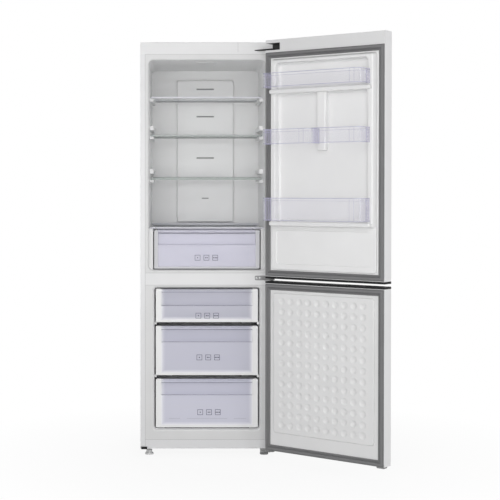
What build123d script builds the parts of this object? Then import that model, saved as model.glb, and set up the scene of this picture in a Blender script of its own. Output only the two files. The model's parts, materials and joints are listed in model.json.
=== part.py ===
"""Bottom freezer refrigerator: fridge compartment above, freezer with drawers below, both doors open.

Everything is drawn in the cabinet's own frame: X to the right, Y from the front plane of the case to
the rear, Z up from the floor. The doors are drawn closed and then swung open about their hinge axis.
At the end the whole object is moved so that its plan outline is centred on the origin.
All lengths are millimetres.
"""
import os

from build123d import *

# ---------------------------------------------------------------- case
case_width = 595.0
case_height = 1850.0
case_depth = 598.0          # from the case's front plane to its rear panel
case_bottom = 36.0          # underside of the base plate above the floor
steel = 0.8                 # sheet of the case and of the door skins
flange_width = 22.0         # front return of each side of the case
cap_height = 53.0           # top front cap
cap_depth = 60.0
cap_wall = 2.5
board_ends = (-120.0, 20.0)     # control board, upright behind the cap's face
board_y = 24.0
board_sheet = 1.6
socket_places = (-104.0, -70.0, -34.0, -6.0)
socket_width = 14.0
socket_reach = 11.4
base_sheet = 1.5
fit_gap = 0.3               # between pieces that rest on each other and move apart
run_gap = 0.05              # radial clearance of a shaft in its hole

# ---------------------------------------------------------------- compartments
liner_wall = 2.0
rim_radius = 10.0           # rounded rim where a compartment meets the front plane
fridge_half = 258.0
fridge_floor = 836.0
ceiling_drop = 28.0         # ceiling of the fridge compartment below the cap
fridge_depth = 520.0
fridge_corner = 18.0
shoulder_half = 241.0       # the compartment is narrower beside the crisper
shoulder_front = 12.0
freezer_half = 235.0
freezer_floor = 123.0
freezer_ceiling = 756.0
freezer_depth = 500.0
freezer_corner = 12.0
step_depth = 335.0          # the freezer is shallower below the step, in front of the compressor
step_height = 300.0
mullion_bottom = 768.0
mullion_top = 822.0
kick_top = 76.0
kick_sheet = 2.0
corner_cap_width = 27.0
corner_cap_height = 11.5
corner_cap_depth = 26.0
corner_cap_sheet = 3.5

# ---------------------------------------------------------------- machine compartment
bay_front = 388.0
bay_roof = 250.0
compressor_x = 120.0
compressor_radius = 72.0
compressor_height = 148.0
shell_clearance = 3.0       # shell above its foot plate
shell_shoulder = 34.0       # rounded edge at the shell's top
shell_base_round = 16.0
weld_height = 75.0          # seam between the shell's halves
weld_reach = 3.0
weld_band = 5.0
foot_plate_half = (92.0, 52.0)
foot_plate_sheet = 3.5
terminal_reach = 26.0       # terminal box on the shell's left
terminal_half = 24.0
terminal_heights = (40.0, 96.0)
mount_height = 14.0
mount_spread = (78.0, 38.0)
mount_radius = 12.0
mount_bore = 4.0
lead_height = 200.0         # pipes from the condenser cross the bay here
lead_start = 215.0
drier_x = -120.0
drier_length = 90.0
drier_radius = 9.0
drier_inlet_x = -190.0
drier_inlet_length = 60.0
drier_round = 3.0
tray_half = 78.0            # drip tray on top of the compressor
tray_half_depth = 84.0
tray_height = 26.0
tray_wall = 2.0
tray_corner = 12.0
vent_rows = 5               # slots of the rear cover
vent_columns = 9
vent_pitch = 58.0
vent_rise = 30.0
vent_first_z = 84.0
vent_width = 44.0
vent_height = 6.0
pipe_radius = 2.4
loop_heights = (320.0, 1560.0)  # condenser loops behind each side of the case
loop_runs = 6
loop_pitch = 78.0
loop_bend = 14.0
lead_rise = 55.0            # pipes from the condenser enter the bay this far behind the compressor
suction_x = 205.0           # suction line where it comes down through the bay's roof
suction_inset = 34.0        # the same line in front of the freezer's rear wall
gland_x = 200.0             # strain relief of the mains lead, left of the middle
gland_z = 60.0
gland_radius = 10.0
gland_lip = 4.0
gland_reach = 9.0
lead_radius = 3.6

# ---------------------------------------------------------------- shelves
shelf_heights = {"shelf_top": 1612.0, "shelf_middle": 1439.0, "shelf_bottom": 1241.0}
glass_thickness = 4.0
shelf_front = 130.0
shelf_inset = 80.0          # rear edge of a shelf in front of the rear wall
shelf_side_gap = 6.0
ledge_reach = 16.0
ledge_height = 14.0
ledge_inset = 46.0
spare_ledge_rise = 46.0     # second place for a shelf, above the one in use
spare_ledge_height = 20.0
trim_depth = 12.0
trim_lip = 2.0              # front trim below the glass
trim_rise = 1.0             # front trim above the glass
stop_rise = 9.0             # rear trim above the glass
cover_height = 1019.0       # underside of the glass over the crisper
cover_front = 40.0
cover_inset = 30.0
cover_side_gap = 1.5

# ---------------------------------------------------------------- air duct, lamp, evaporator
duct_half = 137.0
duct_bottom = 1038.0
duct_drop = 47.0            # top of the duct below the ceiling
duct_depth = 25.0
duct_wall = 2.5
slot_heights = (1679.0, 1547.0, 1347.0)
slot_width = 85.0
slot_opening = 7.0
small_slot_height = 1152.0
small_slot_width = 34.0
slot_collar = 7.0           # collar behind each slot
slot_collar_wall = 3.0
lamp_half = 46.0
lamp_depth = 80.0
lamp_front = 70.0
lamp_sheet = 2.0
evaporator_room = 77.0      # from the evaporator's cover to the freezer's rear wall
evaporator_wall = 2.5
evaporator_gap = 3.0        # beside the evaporator's cover
fan_height = 640.0
fan_radius = 50.0
fan_blades = 5
fan_hub = 17.0
fan_hub_half_length = 9.0
blade_pitch = 28.0          # degrees
blade_chord = 30.0
blade_sheet = 1.6
blade_inset = 14.0
fan_set_back = 18.0         # middle of the fan behind the evaporator cover's face
motor_set_back = 15.0       # motor's nose behind the middle of the fan
motor_length = 28.0
motor_radius = 27.0
motor_bore_depth = 18.0
bracket_half = (34.0, 22.0)     # foot of the motor on the rear wall
cover_ceiling_gap = 6.0
cover_slots_x = (-140.0, -70.0, 0.0, 70.0, 140.0)
cover_slots_z = (335.0, 350.0, 540.0)
cover_slot_half = (25.0, 3.0)
grille_hub = 16.0
grille_spokes = 6
grille_rings = (26.0, 36.0, 46.0)
grille_bar = 1.0            # half the width of a ring
spoke_half = 1.5
fin_half_span = 170
fin_pitch = 17
fin_sheet = 1.0
fin_span_y = (17.0, 71.0)   # behind the cover's face
fin_rise = (30.0, 210.0)    # above the step
end_x = 184.0
end_sheet = 3.0
end_overhang = 4.0
tube_rows_y = (31.0, 57.0)
tube_pitch = 35
tube_radius = 4.0
shaft_radius = 2.5

# ---------------------------------------------------------------- drawers
drawer_wall = 2.5
drawer_front = 22.0
runner_height = 3.7
crisper_half = 236.0
crisper_bottom = 840.0
crisper_top = 1012.0
crisper_inset = 50.0
crisper_cheek = 17.0
crisper_grip = 949.0
drawer_half = 229.0
drawer_cheek = 24.0
drawer_heights = {          # bottom, top, grip line
    "freezer_drawer_top": (600.0, 750.0, 674.0),
    "freezer_drawer_middle": (362.0, 583.0, 511.0),
    "freezer_drawer_bottom": (127.0, 345.0, 273.0),
}
drawer_rear_gap = 23.0
drawer_ledge_reach = 9.0
drawer_ledge_height = 12.0
surround_depth = 17.0       # white frame beside and below a clear front

# ---------------------------------------------------------------- doors
door_thickness = 60.0
door_gap = 10.0             # from the case's front plane to a closed door
door_open_angle = 142.0
hinge_inset = 10.0          # hinge axis from the door's edge
hinge_depth = 38.0          # hinge axis from the door's inner plane
fridge_door_bottom = 803.0
fridge_door_trim = 10.0
freezer_door_bottom = 45.0
freezer_door_top = 791.0
freezer_door_trim = 9.0
freezer_end_height = 12.0
skin_corner = 6.0
gasket_inset = 2.0
gasket_width = 26.0
gasket_base = 3.5
gasket_relief = 0.4         # a closed gasket stops this far from the case
frame_reach = 26.0          # raised frame of the fridge door liner above the border
frame_inset = 36.0
frame_width = 32.0          # from the frame's foot to the pocket
frame_draft = 20.0          # degrees that the frame's outer walls lean in
pocket_sink = 6.0
pocket_drop = 6.0           # floor of a pocket below the bin that hangs in it
pocket_corner = 15.0        # less than a bin's distance from the pocket's wall and floor allows
pocket_round = 13.0         # between a pocket's walls and its back
frame_drop = 32.0           # foot of the frame below the cap
frame_bar = 21.0            # top bar of the frame
frame_bottom = 1030.0
lower_reach = 8.0           # low panel of the liner below the frame
lower_bottom = 846.0
lower_margin = 24.0
lower_sink = 5.0
shelf_bar_bottom = 1610.0   # raised bar under the top bin
sill_half = 250.0           # sills under the top and the bottom bin stand out further than the frame
sill_reach = 44.0
sill_height = 18.0
rib_half = 22.0
rib_reach = 20.0
pad_reach = 7.0             # less than door_gap, because the pad is wider than the freezer's mouth
pad_inset = 46.0
pad_bottom = 128.0
pad_top = 742.0
dimple_columns = 10
dimple_rows = 13
dimple_pitch = 45.0
dimple_radius = 16.0
dimple_depth = 3.5
dimple_first_u = 92.0
dimple_first_z = 166.0

# ---------------------------------------------------------------- hinges
arm_sheet = 4.0
arm_radius = 12.0           # round end of an arm about the hinge axis
pin_radius = 5.0
pin_length = 23.0
boss_half = 14.0            # block that holds a pin's bore in a door's end
hinge_drop = 38.0           # underside of the top arm below the top of the case
hinge_seat = (196.0, 272.0)
arm_foot = (218.0, 249.0)
hinge_pocket_below = 7.0    # pocket of the fridge door that the top arm reaches into
hinge_pocket_above = 24.0
pocket_reach = 75.0
pocket_depth = 54.0
middle_arm_z = 795.0
bottom_arm_z = 32.0
plate_sheet = 3.0           # upright plates of the middle and bottom brackets
middle_plate = (214.0, 296.5)
middle_plate_z = (790.0, 810.0)
bottom_plate = (238.0, 296.0)
bottom_plate_depth = 34.0
bottom_apron_z = 19.0
top_screws_x = (208.0, 261.0)
top_screws_y = 30.0
middle_screws_x = (222.0, 236.0)
bottom_screws_x = (248.0, 286.0)
bottom_screws_y = 20.0
screw_radius = 2.5
screw_head = 5.0
screw_head_height = 2.2
screw_length = 11.0

# ---------------------------------------------------------------- finger grips in the doors' ends
grip_x = (-270.0, -90.0)
grip_y = (-64.0, -32.0)
grip_depth = 24.0
grip_wall = 2.0

# ---------------------------------------------------------------- door bins
bin_wall = 2.2
bin_half = 243.5
bin_reach = 114.0           # from the door's inner plane
bin_corner = 24.0
bin_rows = {"top": (1634.0, 1694.0), "middle": (1390.0, 1453.0), "bottom": (1062.0, 1159.0)}
lug_reach = 4.0
lug_height = 18.0
bin_split = 1.0

# ---------------------------------------------------------------- feet and rollers
foot_x = 259.0
foot_y = 56.0
foot_radius = 19.0
foot_height = 9.0
stem_radius = 5.0
roller_radius = 15.0
roller_width = 16.0
roller_x = 240.0
roller_y = 560.0
axle_radius = 3.0
roller_side_gap = 0.5
cheek_sheet = 2.0           # cheeks of the base plate that hold an axle
cheek_half = 9.0
cheek_drop = 7.0
boss_height = 16.0          # boss of the base plate that a foot's stem screws into
boss_wall = 6.0

# ---------------------------------------------------------------- worked out from the values above
half = case_width / 2
cap_bottom = case_height - cap_height
fridge_ceiling = cap_bottom - ceiling_drop
duct_top = fridge_ceiling - duct_drop
frame_top = cap_bottom - frame_drop
hinge_arm_z = case_height - hinge_drop
pocket_low = hinge_arm_z - hinge_pocket_below
pocket_high = hinge_arm_z + hinge_pocket_above
shelf_rear = fridge_depth - shelf_inset
ledge_front = shelf_front + trim_depth + 6
ledge_rear = fridge_depth - ledge_inset
cover_rear = fridge_depth - cover_inset
crisper_rear = fridge_depth - crisper_inset
evaporator_cover_y = freezer_depth - evaporator_room
suction_y = freezer_depth - suction_inset
fan_y = evaporator_cover_y + fan_set_back
upper_drawer_rear = evaporator_cover_y - drawer_rear_gap
lower_drawer_rear = step_depth - drawer_rear_gap
inner_half = half - steel
front_half = half - flange_width
door_plane = -door_gap
door_face = door_plane - door_thickness
hinge_x = half - hinge_inset
hinge_y = door_plane - hinge_depth
base_top = case_bottom + base_sheet
bay_back = case_depth - steel
compressor_y = (bay_front + steel + bay_back) / 2
lead_y = compressor_y + lead_rise
gasket_height = door_gap - gasket_relief
frame_half = half - frame_inset
pocket_half = frame_half - frame_width
pad_half = half - pad_inset
bin_back = door_plane - pocket_sink + pocket_round + 1

nodes = {}


# ---------------------------------------------------------------- drawing helpers
def block(x0, x1, y0, y1, z0, z1):
    """Plain block between two corners."""
    return Pos((x0 + x1) / 2, (y0 + y1) / 2, (z0 + z1) / 2) * Box(x1 - x0, y1 - y0, z1 - z0)


def slab(x0, x1, y0, y1, z0, z1, radius):
    """Block whose corners are rounded as seen from the front."""
    outline = RectangleRounded(x1 - x0, z1 - z0, radius)
    return Pos((x0 + x1) / 2, y1, (z0 + z1) / 2) * Rot(90, 0, 0) * extrude(outline, amount=y1 - y0)


def drafted(x0, x1, y0, y1, z0, z1, radius, lean):
    """Slab whose walls lean in, by degrees, from its foot at y0 to its crest at y1."""
    outline = RectangleRounded(x1 - x0, z1 - z0, radius)
    leaning = extrude(outline, amount=y1 - y0, taper=lean)
    return Pos((x0 + x1) / 2, y0, (z0 + z1) / 2) * Rot(-90, 0, 0) * leaning


def plate(x0, x1, y0, y1, z0, z1, radius):
    """Block whose corners are rounded as seen from above."""
    outline = RectangleRounded(x1 - x0, y1 - y0, radius)
    return Pos((x0 + x1) / 2, (y0 + y1) / 2, z0) * extrude(outline, amount=z1 - z0)


def upright(x, y, z0, z1, radius):
    """Vertical cylinder between two heights."""
    return Pos(x, y, (z0 + z1) / 2) * Cylinder(radius, z1 - z0)


def along_y(x, z, y0, y1, radius):
    """Cylinder along Y."""
    return Pos(x, (y0 + y1) / 2, z) * Rot(90, 0, 0) * Cylinder(radius, y1 - y0)


def along_x(y, z, x0, x1, radius):
    """Cylinder along X."""
    return Pos((x0 + x1) / 2, y, z) * Rot(0, 90, 0) * Cylinder(radius, x1 - x0)


def edges_at(shape, axis, height, keep=lambda edge: True):
    """Edges that lie in the plane at this height along the axis."""
    return [e for e in shape.edges().filter_by_position(axis, height - 0.01, height + 0.01) if keep(e)]


def pipe(points, bend):
    """Tube of the refrigerant circuit through these points."""
    path = FilletPolyline(*points, radius=bend)
    start = Plane(origin=path @ 0, z_dir=path % 0)
    return sweep(start * Circle(pipe_radius), path=path)


def swung(shape):
    """A door piece, drawn closed, at the angle at which the doors stand."""
    return Pos(hinge_x, hinge_y, 0) * Rot(0, 0, door_open_angle) * Pos(-hinge_x, -hinge_y, 0) * shape


# ---------------------------------------------------------------- compartments and their liners
def compartment(half_width, floor, ceiling, depth, corner, low, high, grow, step=False):
    """Room of a compartment and the air before its front flange, with every surface moved out by grow."""
    room = slab(-half_width - grow, half_width + grow, -door_gap, depth + grow,
                floor - grow, ceiling + grow, corner + grow)
    if step:
        room -= block(-half, half, step_depth + grow, depth + steel + liner_wall + half,
                      floor - half, step_height - grow)
    room += block(-front_half, front_half, -door_gap, grow, low, high)

    def on_rim(edge):
        box = edge.bounding_box()
        inside_x = max(abs(box.min.X), abs(box.max.X)) < half_width + grow + 0.01
        inside_z = box.min.Z > floor - grow - 0.01 and box.max.Z < ceiling + grow + 0.01
        return inside_x and inside_z

    return fillet(edges_at(room, Axis.Y, grow, on_rim), rim_radius - grow)


def fridge_room(grow):
    """Fridge compartment, with a shoulder on each side beside the crisper that carries its glass cover."""
    room = compartment(fridge_half, fridge_floor, fridge_ceiling, fridge_depth, fridge_corner,
                       mullion_top, cap_bottom, grow)
    for side in (-1, 1):
        x0, x1 = sorted((side * (shoulder_half + grow), side * half))
        room -= block(x0, x1, shoulder_front + grow, case_depth, case_bottom, cover_height - grow)
    return room


def freezer_room(grow):
    return compartment(freezer_half, freezer_floor, freezer_ceiling, freezer_depth, freezer_corner,
                       kick_top, mullion_bottom, grow, step=True)


def side_ledges(wall, height, front, rear, reach, thickness):
    """One ledge on each side wall, its top at this height."""
    ledges = []
    for side in (-1, 1):
        inner, outer = sorted((side * (wall - reach), side * (wall + liner_wall / 2)))
        ledges.append(block(inner, outer, front, rear, height - thickness, height))
    return ledges


def floor_runners(wall, floor, front, rear):
    """Two low ribs on a compartment's floor."""
    ribs = []
    for side in (-1, 1):
        ribs.append(block(side * wall - 5, side * wall + 5, front, rear,
                          floor - liner_wall / 2, floor + runner_height))
    return ribs


def make_fridge_liner():
    liner = fridge_room(liner_wall) - fridge_room(0)
    for height in shelf_heights.values():
        liner += side_ledges(fridge_half, height - fit_gap, ledge_front, ledge_rear,
                             ledge_reach, ledge_height)
        if height < max(shelf_heights.values()):
            liner += side_ledges(fridge_half, height + spare_ledge_rise, ledge_front, ledge_rear,
                                 ledge_reach, spare_ledge_height)
    liner += floor_runners(crisper_half - 40, fridge_floor, drawer_front + 10, crisper_rear)
    nodes["fridge_liner"] = liner - machine_pipes


def drawer_rear(name):
    """Rear face of a freezer drawer: the bottom one ends before the step over the compressor."""
    return lower_drawer_rear if name.endswith("bottom") else upper_drawer_rear


def make_freezer_liner():
    liner = freezer_room(liner_wall) - freezer_room(0)
    for name, (bottom, top, grip) in drawer_heights.items():
        rear = drawer_rear(name)
        if bottom - freezer_floor > 2 * drawer_ledge_height:
            liner += side_ledges(freezer_half, bottom - fit_gap, drawer_front + 20, rear,
                                 drawer_ledge_reach, drawer_ledge_height)
        else:
            liner += floor_runners(drawer_half - 40, freezer_floor, drawer_front + 10, rear - 10)
    nodes["freezer_liner"] = liner - machine_pipes


# ---------------------------------------------------------------- case
def make_case():
    """Sides and top bent from one sheet, with a front return down each side."""
    case = block(-half, half, 0, case_depth, case_bottom, case_height)
    case -= block(-inner_half, inner_half, steel, case_depth + 1, case_bottom - 1, case_height - steel)
    case -= block(-front_half, front_half, -1, steel + 1, case_bottom - 1, case_height - steel)
    case -= block(-half - 1, half + 1, -1, cap_depth, cap_bottom, case_height + 1)
    nodes["outer_case"] = case
    nodes["rear_panel"] = block(-inner_half, inner_half, bay_back, case_depth,
                                bay_roof, case_height - steel)


def make_top_cap():
    """Hollow cap over the front of the case, with the seat of the top hinge and the board's rails."""
    cap = block(-half, half, 0, cap_depth, cap_bottom, case_height)
    cap -= block(-half + cap_wall, half - cap_wall, cap_wall, cap_depth + 1,
                 cap_bottom + cap_wall, case_height - cap_wall)
    cap = fillet(cap.edges().filter_by(Axis.X).group_by(Axis.Y)[0].group_by(Axis.Z)[-1], cap_wall)
    cap += block(hinge_seat[0], hinge_seat[1], cap_wall, cap_depth - 4, cap_bottom + cap_wall, hinge_arm_z)
    cap -= block(arm_foot[0] - 6, arm_foot[1] + 12, -1, cap_wall + 1,
                 hinge_arm_z - fit_gap, hinge_arm_z + arm_sheet + fit_gap)
    left, right = board_ends
    rear, top = board_y + board_sheet, case_height - cap_wall - 5.5
    board = block(left, right, board_y, rear, cap_bottom + cap_wall + fit_gap, top)
    for x in board_ends:
        cap += block(x - 3, x + 3, board_y - 4, rear + 4.4, cap_bottom + cap_wall, top)
    cap -= block(left - fit_gap, right + fit_gap, board_y - fit_gap, rear + fit_gap,
                 cap_bottom + cap_wall, top + 1)
    sockets = [block(x, x + socket_width, rear, rear + socket_reach, cap_bottom + 11, cap_bottom + 29)
               for x in socket_places]
    nodes["control_board"] = board + sockets
    nodes["top_front_cap"] = cap - hinge_screw_shanks


def make_base():
    """Base plate with the bosses of the feet and the cheeks and axles of the rear rollers."""
    base = block(-inner_half, inner_half, kick_sheet, case_depth, case_bottom, base_top)
    for x in (-foot_x, foot_x):
        base += upright(x, foot_y, base_top, base_top + boss_height, stem_radius + boss_wall)
        base -= upright(x, foot_y, case_bottom - 1, base_top + boss_height + 1, stem_radius + run_gap)
    axles = []
    for x in (-roller_x, roller_x):
        for side in (-1, 1):
            cheek = x + side * (roller_width / 2 + roller_side_gap + cheek_sheet / 2)
            base += block(cheek - cheek_sheet / 2, cheek + cheek_sheet / 2, roller_y - cheek_half,
                          roller_y + cheek_half, roller_radius - cheek_drop, case_bottom + base_sheet / 2)
        reach = roller_width / 2 + roller_side_gap + cheek_sheet + 1.5
        axle = along_x(roller_y, roller_radius, x - reach, x + reach, axle_radius)
        base -= axle
        axles.append(axle)
    base -= hinge_screw_shanks
    nodes["base_plate"] = Compound([base] + axles)
    wall = block(-inner_half, inner_half, bay_front, bay_front + steel, base_top, bay_roof)
    roof = block(-inner_half, inner_half, bay_front, bay_back, bay_roof - steel, bay_roof)
    passages = [upright(suction_x, suction_y, bay_roof - 5, bay_roof + 5, pipe_radius + fit_gap)]
    for side in (-1, 1):
        x0, x1 = sorted((side * (inner_half - 2 * pipe_radius - 1), side * (inner_half + 1)))
        passages.append(block(x0, x1, lead_y - pipe_radius - 1, lead_y + pipe_radius + 1,
                              bay_roof - 5, bay_roof + 5))
    nodes["machine_bay_wall"] = (wall + roof) - passages
    cover = block(-inner_half, inner_half, bay_back, case_depth, base_top, bay_roof)
    for row in range(vent_rows):
        for column in range(vent_columns):
            x = (column - (vent_columns - 1) / 2) * vent_pitch
            z = vent_first_z + row * vent_rise
            cover -= block(x - vent_width / 2, x + vent_width / 2, bay_back - 1, case_depth + 1,
                           z - vent_height / 2, z + vent_height / 2)
    cover -= along_y(-gland_x, gland_z, bay_back - 1, case_depth + 1, gland_radius)
    nodes["rear_cover"] = cover
    gland = along_y(-gland_x, gland_z, bay_back - gland_reach, case_depth, gland_radius)
    gland += along_y(-gland_x, gland_z, bay_back - gland_reach, bay_back, gland_radius + gland_lip)
    gland -= along_y(-gland_x, gland_z, bay_back - 20, case_depth + 20, lead_radius)
    nodes["cord_gland"] = gland


def make_front_trims():
    """Rail between the two compartments, plate at the foot and cap on the free lower corner."""
    rail = block(-front_half, front_half, 0, liner_wall, mullion_bottom, mullion_top)
    nodes["mullion_rail"] = rail - hinge_screw_shanks
    nodes["kick_plate"] = block(-front_half, front_half, 0, kick_sheet, case_bottom, kick_top)
    left, low = -half + 3.5, case_bottom - 3
    cap = block(left, left + corner_cap_width, -corner_cap_sheet, 0, low, low + corner_cap_height)
    cap += block(left, left + corner_cap_width, -corner_cap_sheet, corner_cap_depth, low, case_bottom)
    nodes["corner_cap"] = fillet(cap.edges().filter_by(Axis.Y).group_by(Axis.Z)[0], 2.0)


def make_foam():
    """Insulation that fills everything between the case, the liners and the machine compartment."""
    foam = block(-inner_half, inner_half, steel, bay_back, base_top, case_height - steel)
    foam -= block(-front_half, front_half, 0, liner_wall, case_bottom, case_height)
    foam -= block(-half, half, 0, cap_depth, cap_bottom, case_height)
    foam -= block(-half, half, bay_front, case_depth, case_bottom, bay_roof)
    foam -= fridge_room(liner_wall)
    foam -= freezer_room(liner_wall)
    for x in (-foot_x, foot_x):
        foam -= upright(x, foot_y, base_top, base_top + boss_height + 10, stem_radius + boss_wall)
    foam -= [*condenser_loops, *machine_pipes, *hinge_screw_shanks]
    nodes["cabinet_foam"] = foam


# ---------------------------------------------------------------- hinges
def hinge_arm(foot_x0, foot_x1, foot_back, z0, z1):
    """Flat arm from its foot on the case to a round end about the hinge axis."""
    foot = block(foot_x0, foot_x1, 0, foot_back, z0, z1)
    eye = Pos(hinge_x, hinge_y) * Circle(arm_radius)
    root = Pos((foot_x0 + foot_x1) / 2, -0.5) * Rectangle(foot_x1 - foot_x0, 1.0)
    arm = Pos(0, 0, z0) * extrude(make_hull([*eye.edges(), *root.edges()]), amount=z1 - z0)
    return foot + arm


def make_hinges():
    top = hinge_arm(*arm_foot, cap_depth - 8, hinge_arm_z, hinge_arm_z + arm_sheet)
    top += block(hinge_seat[0] + 2, hinge_seat[1] - 2, cap_wall + 1, cap_depth - 8,
                 hinge_arm_z, hinge_arm_z + arm_sheet)
    top += upright(hinge_x, hinge_y, hinge_arm_z - pin_length, hinge_arm_z + 1, pin_radius)
    nodes["top_hinge"] = top - hinge_screw_shanks

    left, right = middle_plate
    middle = slab(left, right, -plate_sheet, 0, middle_plate_z[0], middle_plate_z[1], 4.0)
    middle += hinge_arm(left + 32, right - 6.5, 0.0001, middle_arm_z, middle_arm_z + arm_sheet)
    middle += upright(hinge_x, hinge_y, middle_arm_z - pin_length, middle_arm_z + arm_sheet + pin_length,
                      pin_radius)
    middle -= block(left - 5, half + 5, 0, 5, middle_plate_z[0] - 5, middle_plate_z[1] + 5)
    nodes["middle_hinge"] = middle - hinge_screw_shanks

    left, right = bottom_plate
    bottom = hinge_arm(left, right, bottom_plate_depth, bottom_arm_z, bottom_arm_z + arm_sheet)
    bottom += block(left, right - 12, -plate_sheet, 0, bottom_apron_z, bottom_arm_z)
    bottom += upright(hinge_x, hinge_y, bottom_arm_z, freezer_door_bottom - fit_gap, pin_radius + 3)
    bottom += upright(hinge_x, hinge_y, bottom_arm_z, freezer_door_bottom + pin_length - 5, pin_radius)
    nodes["bottom_hinge"] = bottom - hinge_screw_shanks


def screw_set():
    """Every hinge screw as (head, shank): two down into the cap, two in the rail, two up into the base."""
    screws = []
    for x in top_screws_x:
        top = hinge_arm_z + arm_sheet
        screws.append((upright(x, top_screws_y, top, top + screw_head_height, screw_head),
                       upright(x, top_screws_y, top - screw_length, top, screw_radius)))
    middle_z = sum(middle_plate_z) / 2
    for x in middle_screws_x:
        screws.append((along_y(x, middle_z, -plate_sheet - screw_head_height, -plate_sheet, screw_head),
                       along_y(x, middle_z, -plate_sheet, screw_length, screw_radius)))
    for x in bottom_screws_x:
        head_bottom = bottom_arm_z - screw_head_height
        screws.append((upright(x, bottom_screws_y, head_bottom, bottom_arm_z, screw_head),
                       upright(x, bottom_screws_y, bottom_arm_z, base_top, screw_radius)))
    return screws


# ---------------------------------------------------------------- refrigerant circuit
def condenser_loop(side):
    """Serpentine against the inside of one side of the case, with its lead to the machine compartment."""
    x = side * (inner_half - pipe_radius)
    points = [(side * lead_start, lead_y, lead_height), (x, lead_y, lead_height)]
    low, high = loop_heights
    for run in range(loop_runs):
        y = lead_y - run * loop_pitch
        start, end = (low, high) if run % 2 == 0 else (high, low)
        if run:
            points.append((x, y, start))
        points.append((x, y, end))
    return pipe(points, loop_bend)


def suction_line():
    """From the evaporator through the rear wall down to the compressor."""
    points = [(186.0, suction_y, 350.0), (suction_x, suction_y, 350.0), (suction_x, suction_y, 236.0),
              (suction_x, compressor_y, 150.0),
              (compressor_x + compressor_radius - 2, compressor_y, 120.0)]
    return pipe(points, 12.0)


def make_machine():
    radius, low = compressor_radius, base_top + mount_height
    foot = low + shell_clearance
    shell = upright(compressor_x, compressor_y, foot, low + compressor_height, radius)
    shell = fillet(edges_at(shell, Axis.Z, low + compressor_height), shell_shoulder)
    shell = fillet(edges_at(shell, Axis.Z, foot), shell_base_round)
    shell += Pos(compressor_x, compressor_y, low + weld_height) * Cylinder(radius + weld_reach, weld_band)
    width, depth = foot_plate_half
    shell += plate(compressor_x - width, compressor_x + width, compressor_y - depth, compressor_y + depth,
                   low, low + foot_plate_sheet, mount_radius + 2)
    shell += block(compressor_x - radius - terminal_reach, compressor_x - radius + 8,
                   compressor_y - terminal_half, compressor_y + terminal_half,
                   low + terminal_heights[0], low + terminal_heights[1])
    nodes["compressor"] = shell - machine_pipes
    mounts = []
    for dx in (-mount_spread[0], mount_spread[0]):
        for dy in (-mount_spread[1], mount_spread[1]):
            pad = upright(compressor_x + dx, compressor_y + dy, base_top, low, mount_radius)
            mounts.append(pad - upright(compressor_x + dx, compressor_y + dy, base_top, low, mount_bore))
    nodes["compressor_mounts"] = Compound(mounts)
    drier = Pos(drier_x, lead_y, lead_height) * Rot(0, 90, 0) * Cylinder(drier_radius, drier_length)
    inlet = Cylinder(pipe_radius, drier_inlet_length)
    drier += Pos(drier_inlet_x, lead_y, lead_height) * Rot(0, 90, 0) * inlet
    drier = fillet(drier.edges().filter_by(GeomType.CIRCLE).group_by(SortBy.RADIUS)[-1], drier_round)
    drier -= condenser_loops[0]
    nodes["refrigerant_pipes"] = Compound([*condenser_loops, *suction_pipes, drier])
    top = low + compressor_height
    x0, x1 = compressor_x - tray_half, compressor_x + tray_half
    y0, y1 = compressor_y - tray_half_depth, compressor_y + tray_half_depth
    tray = plate(x0, x1, y0, y1, top, top + tray_height, tray_corner)
    tray -= plate(x0 + tray_wall, x1 - tray_wall, y0 + tray_wall, y1 - tray_wall,
                  top + tray_wall, top + tray_height + 1, tray_corner - tray_wall)
    nodes["drip_tray"] = tray


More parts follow.
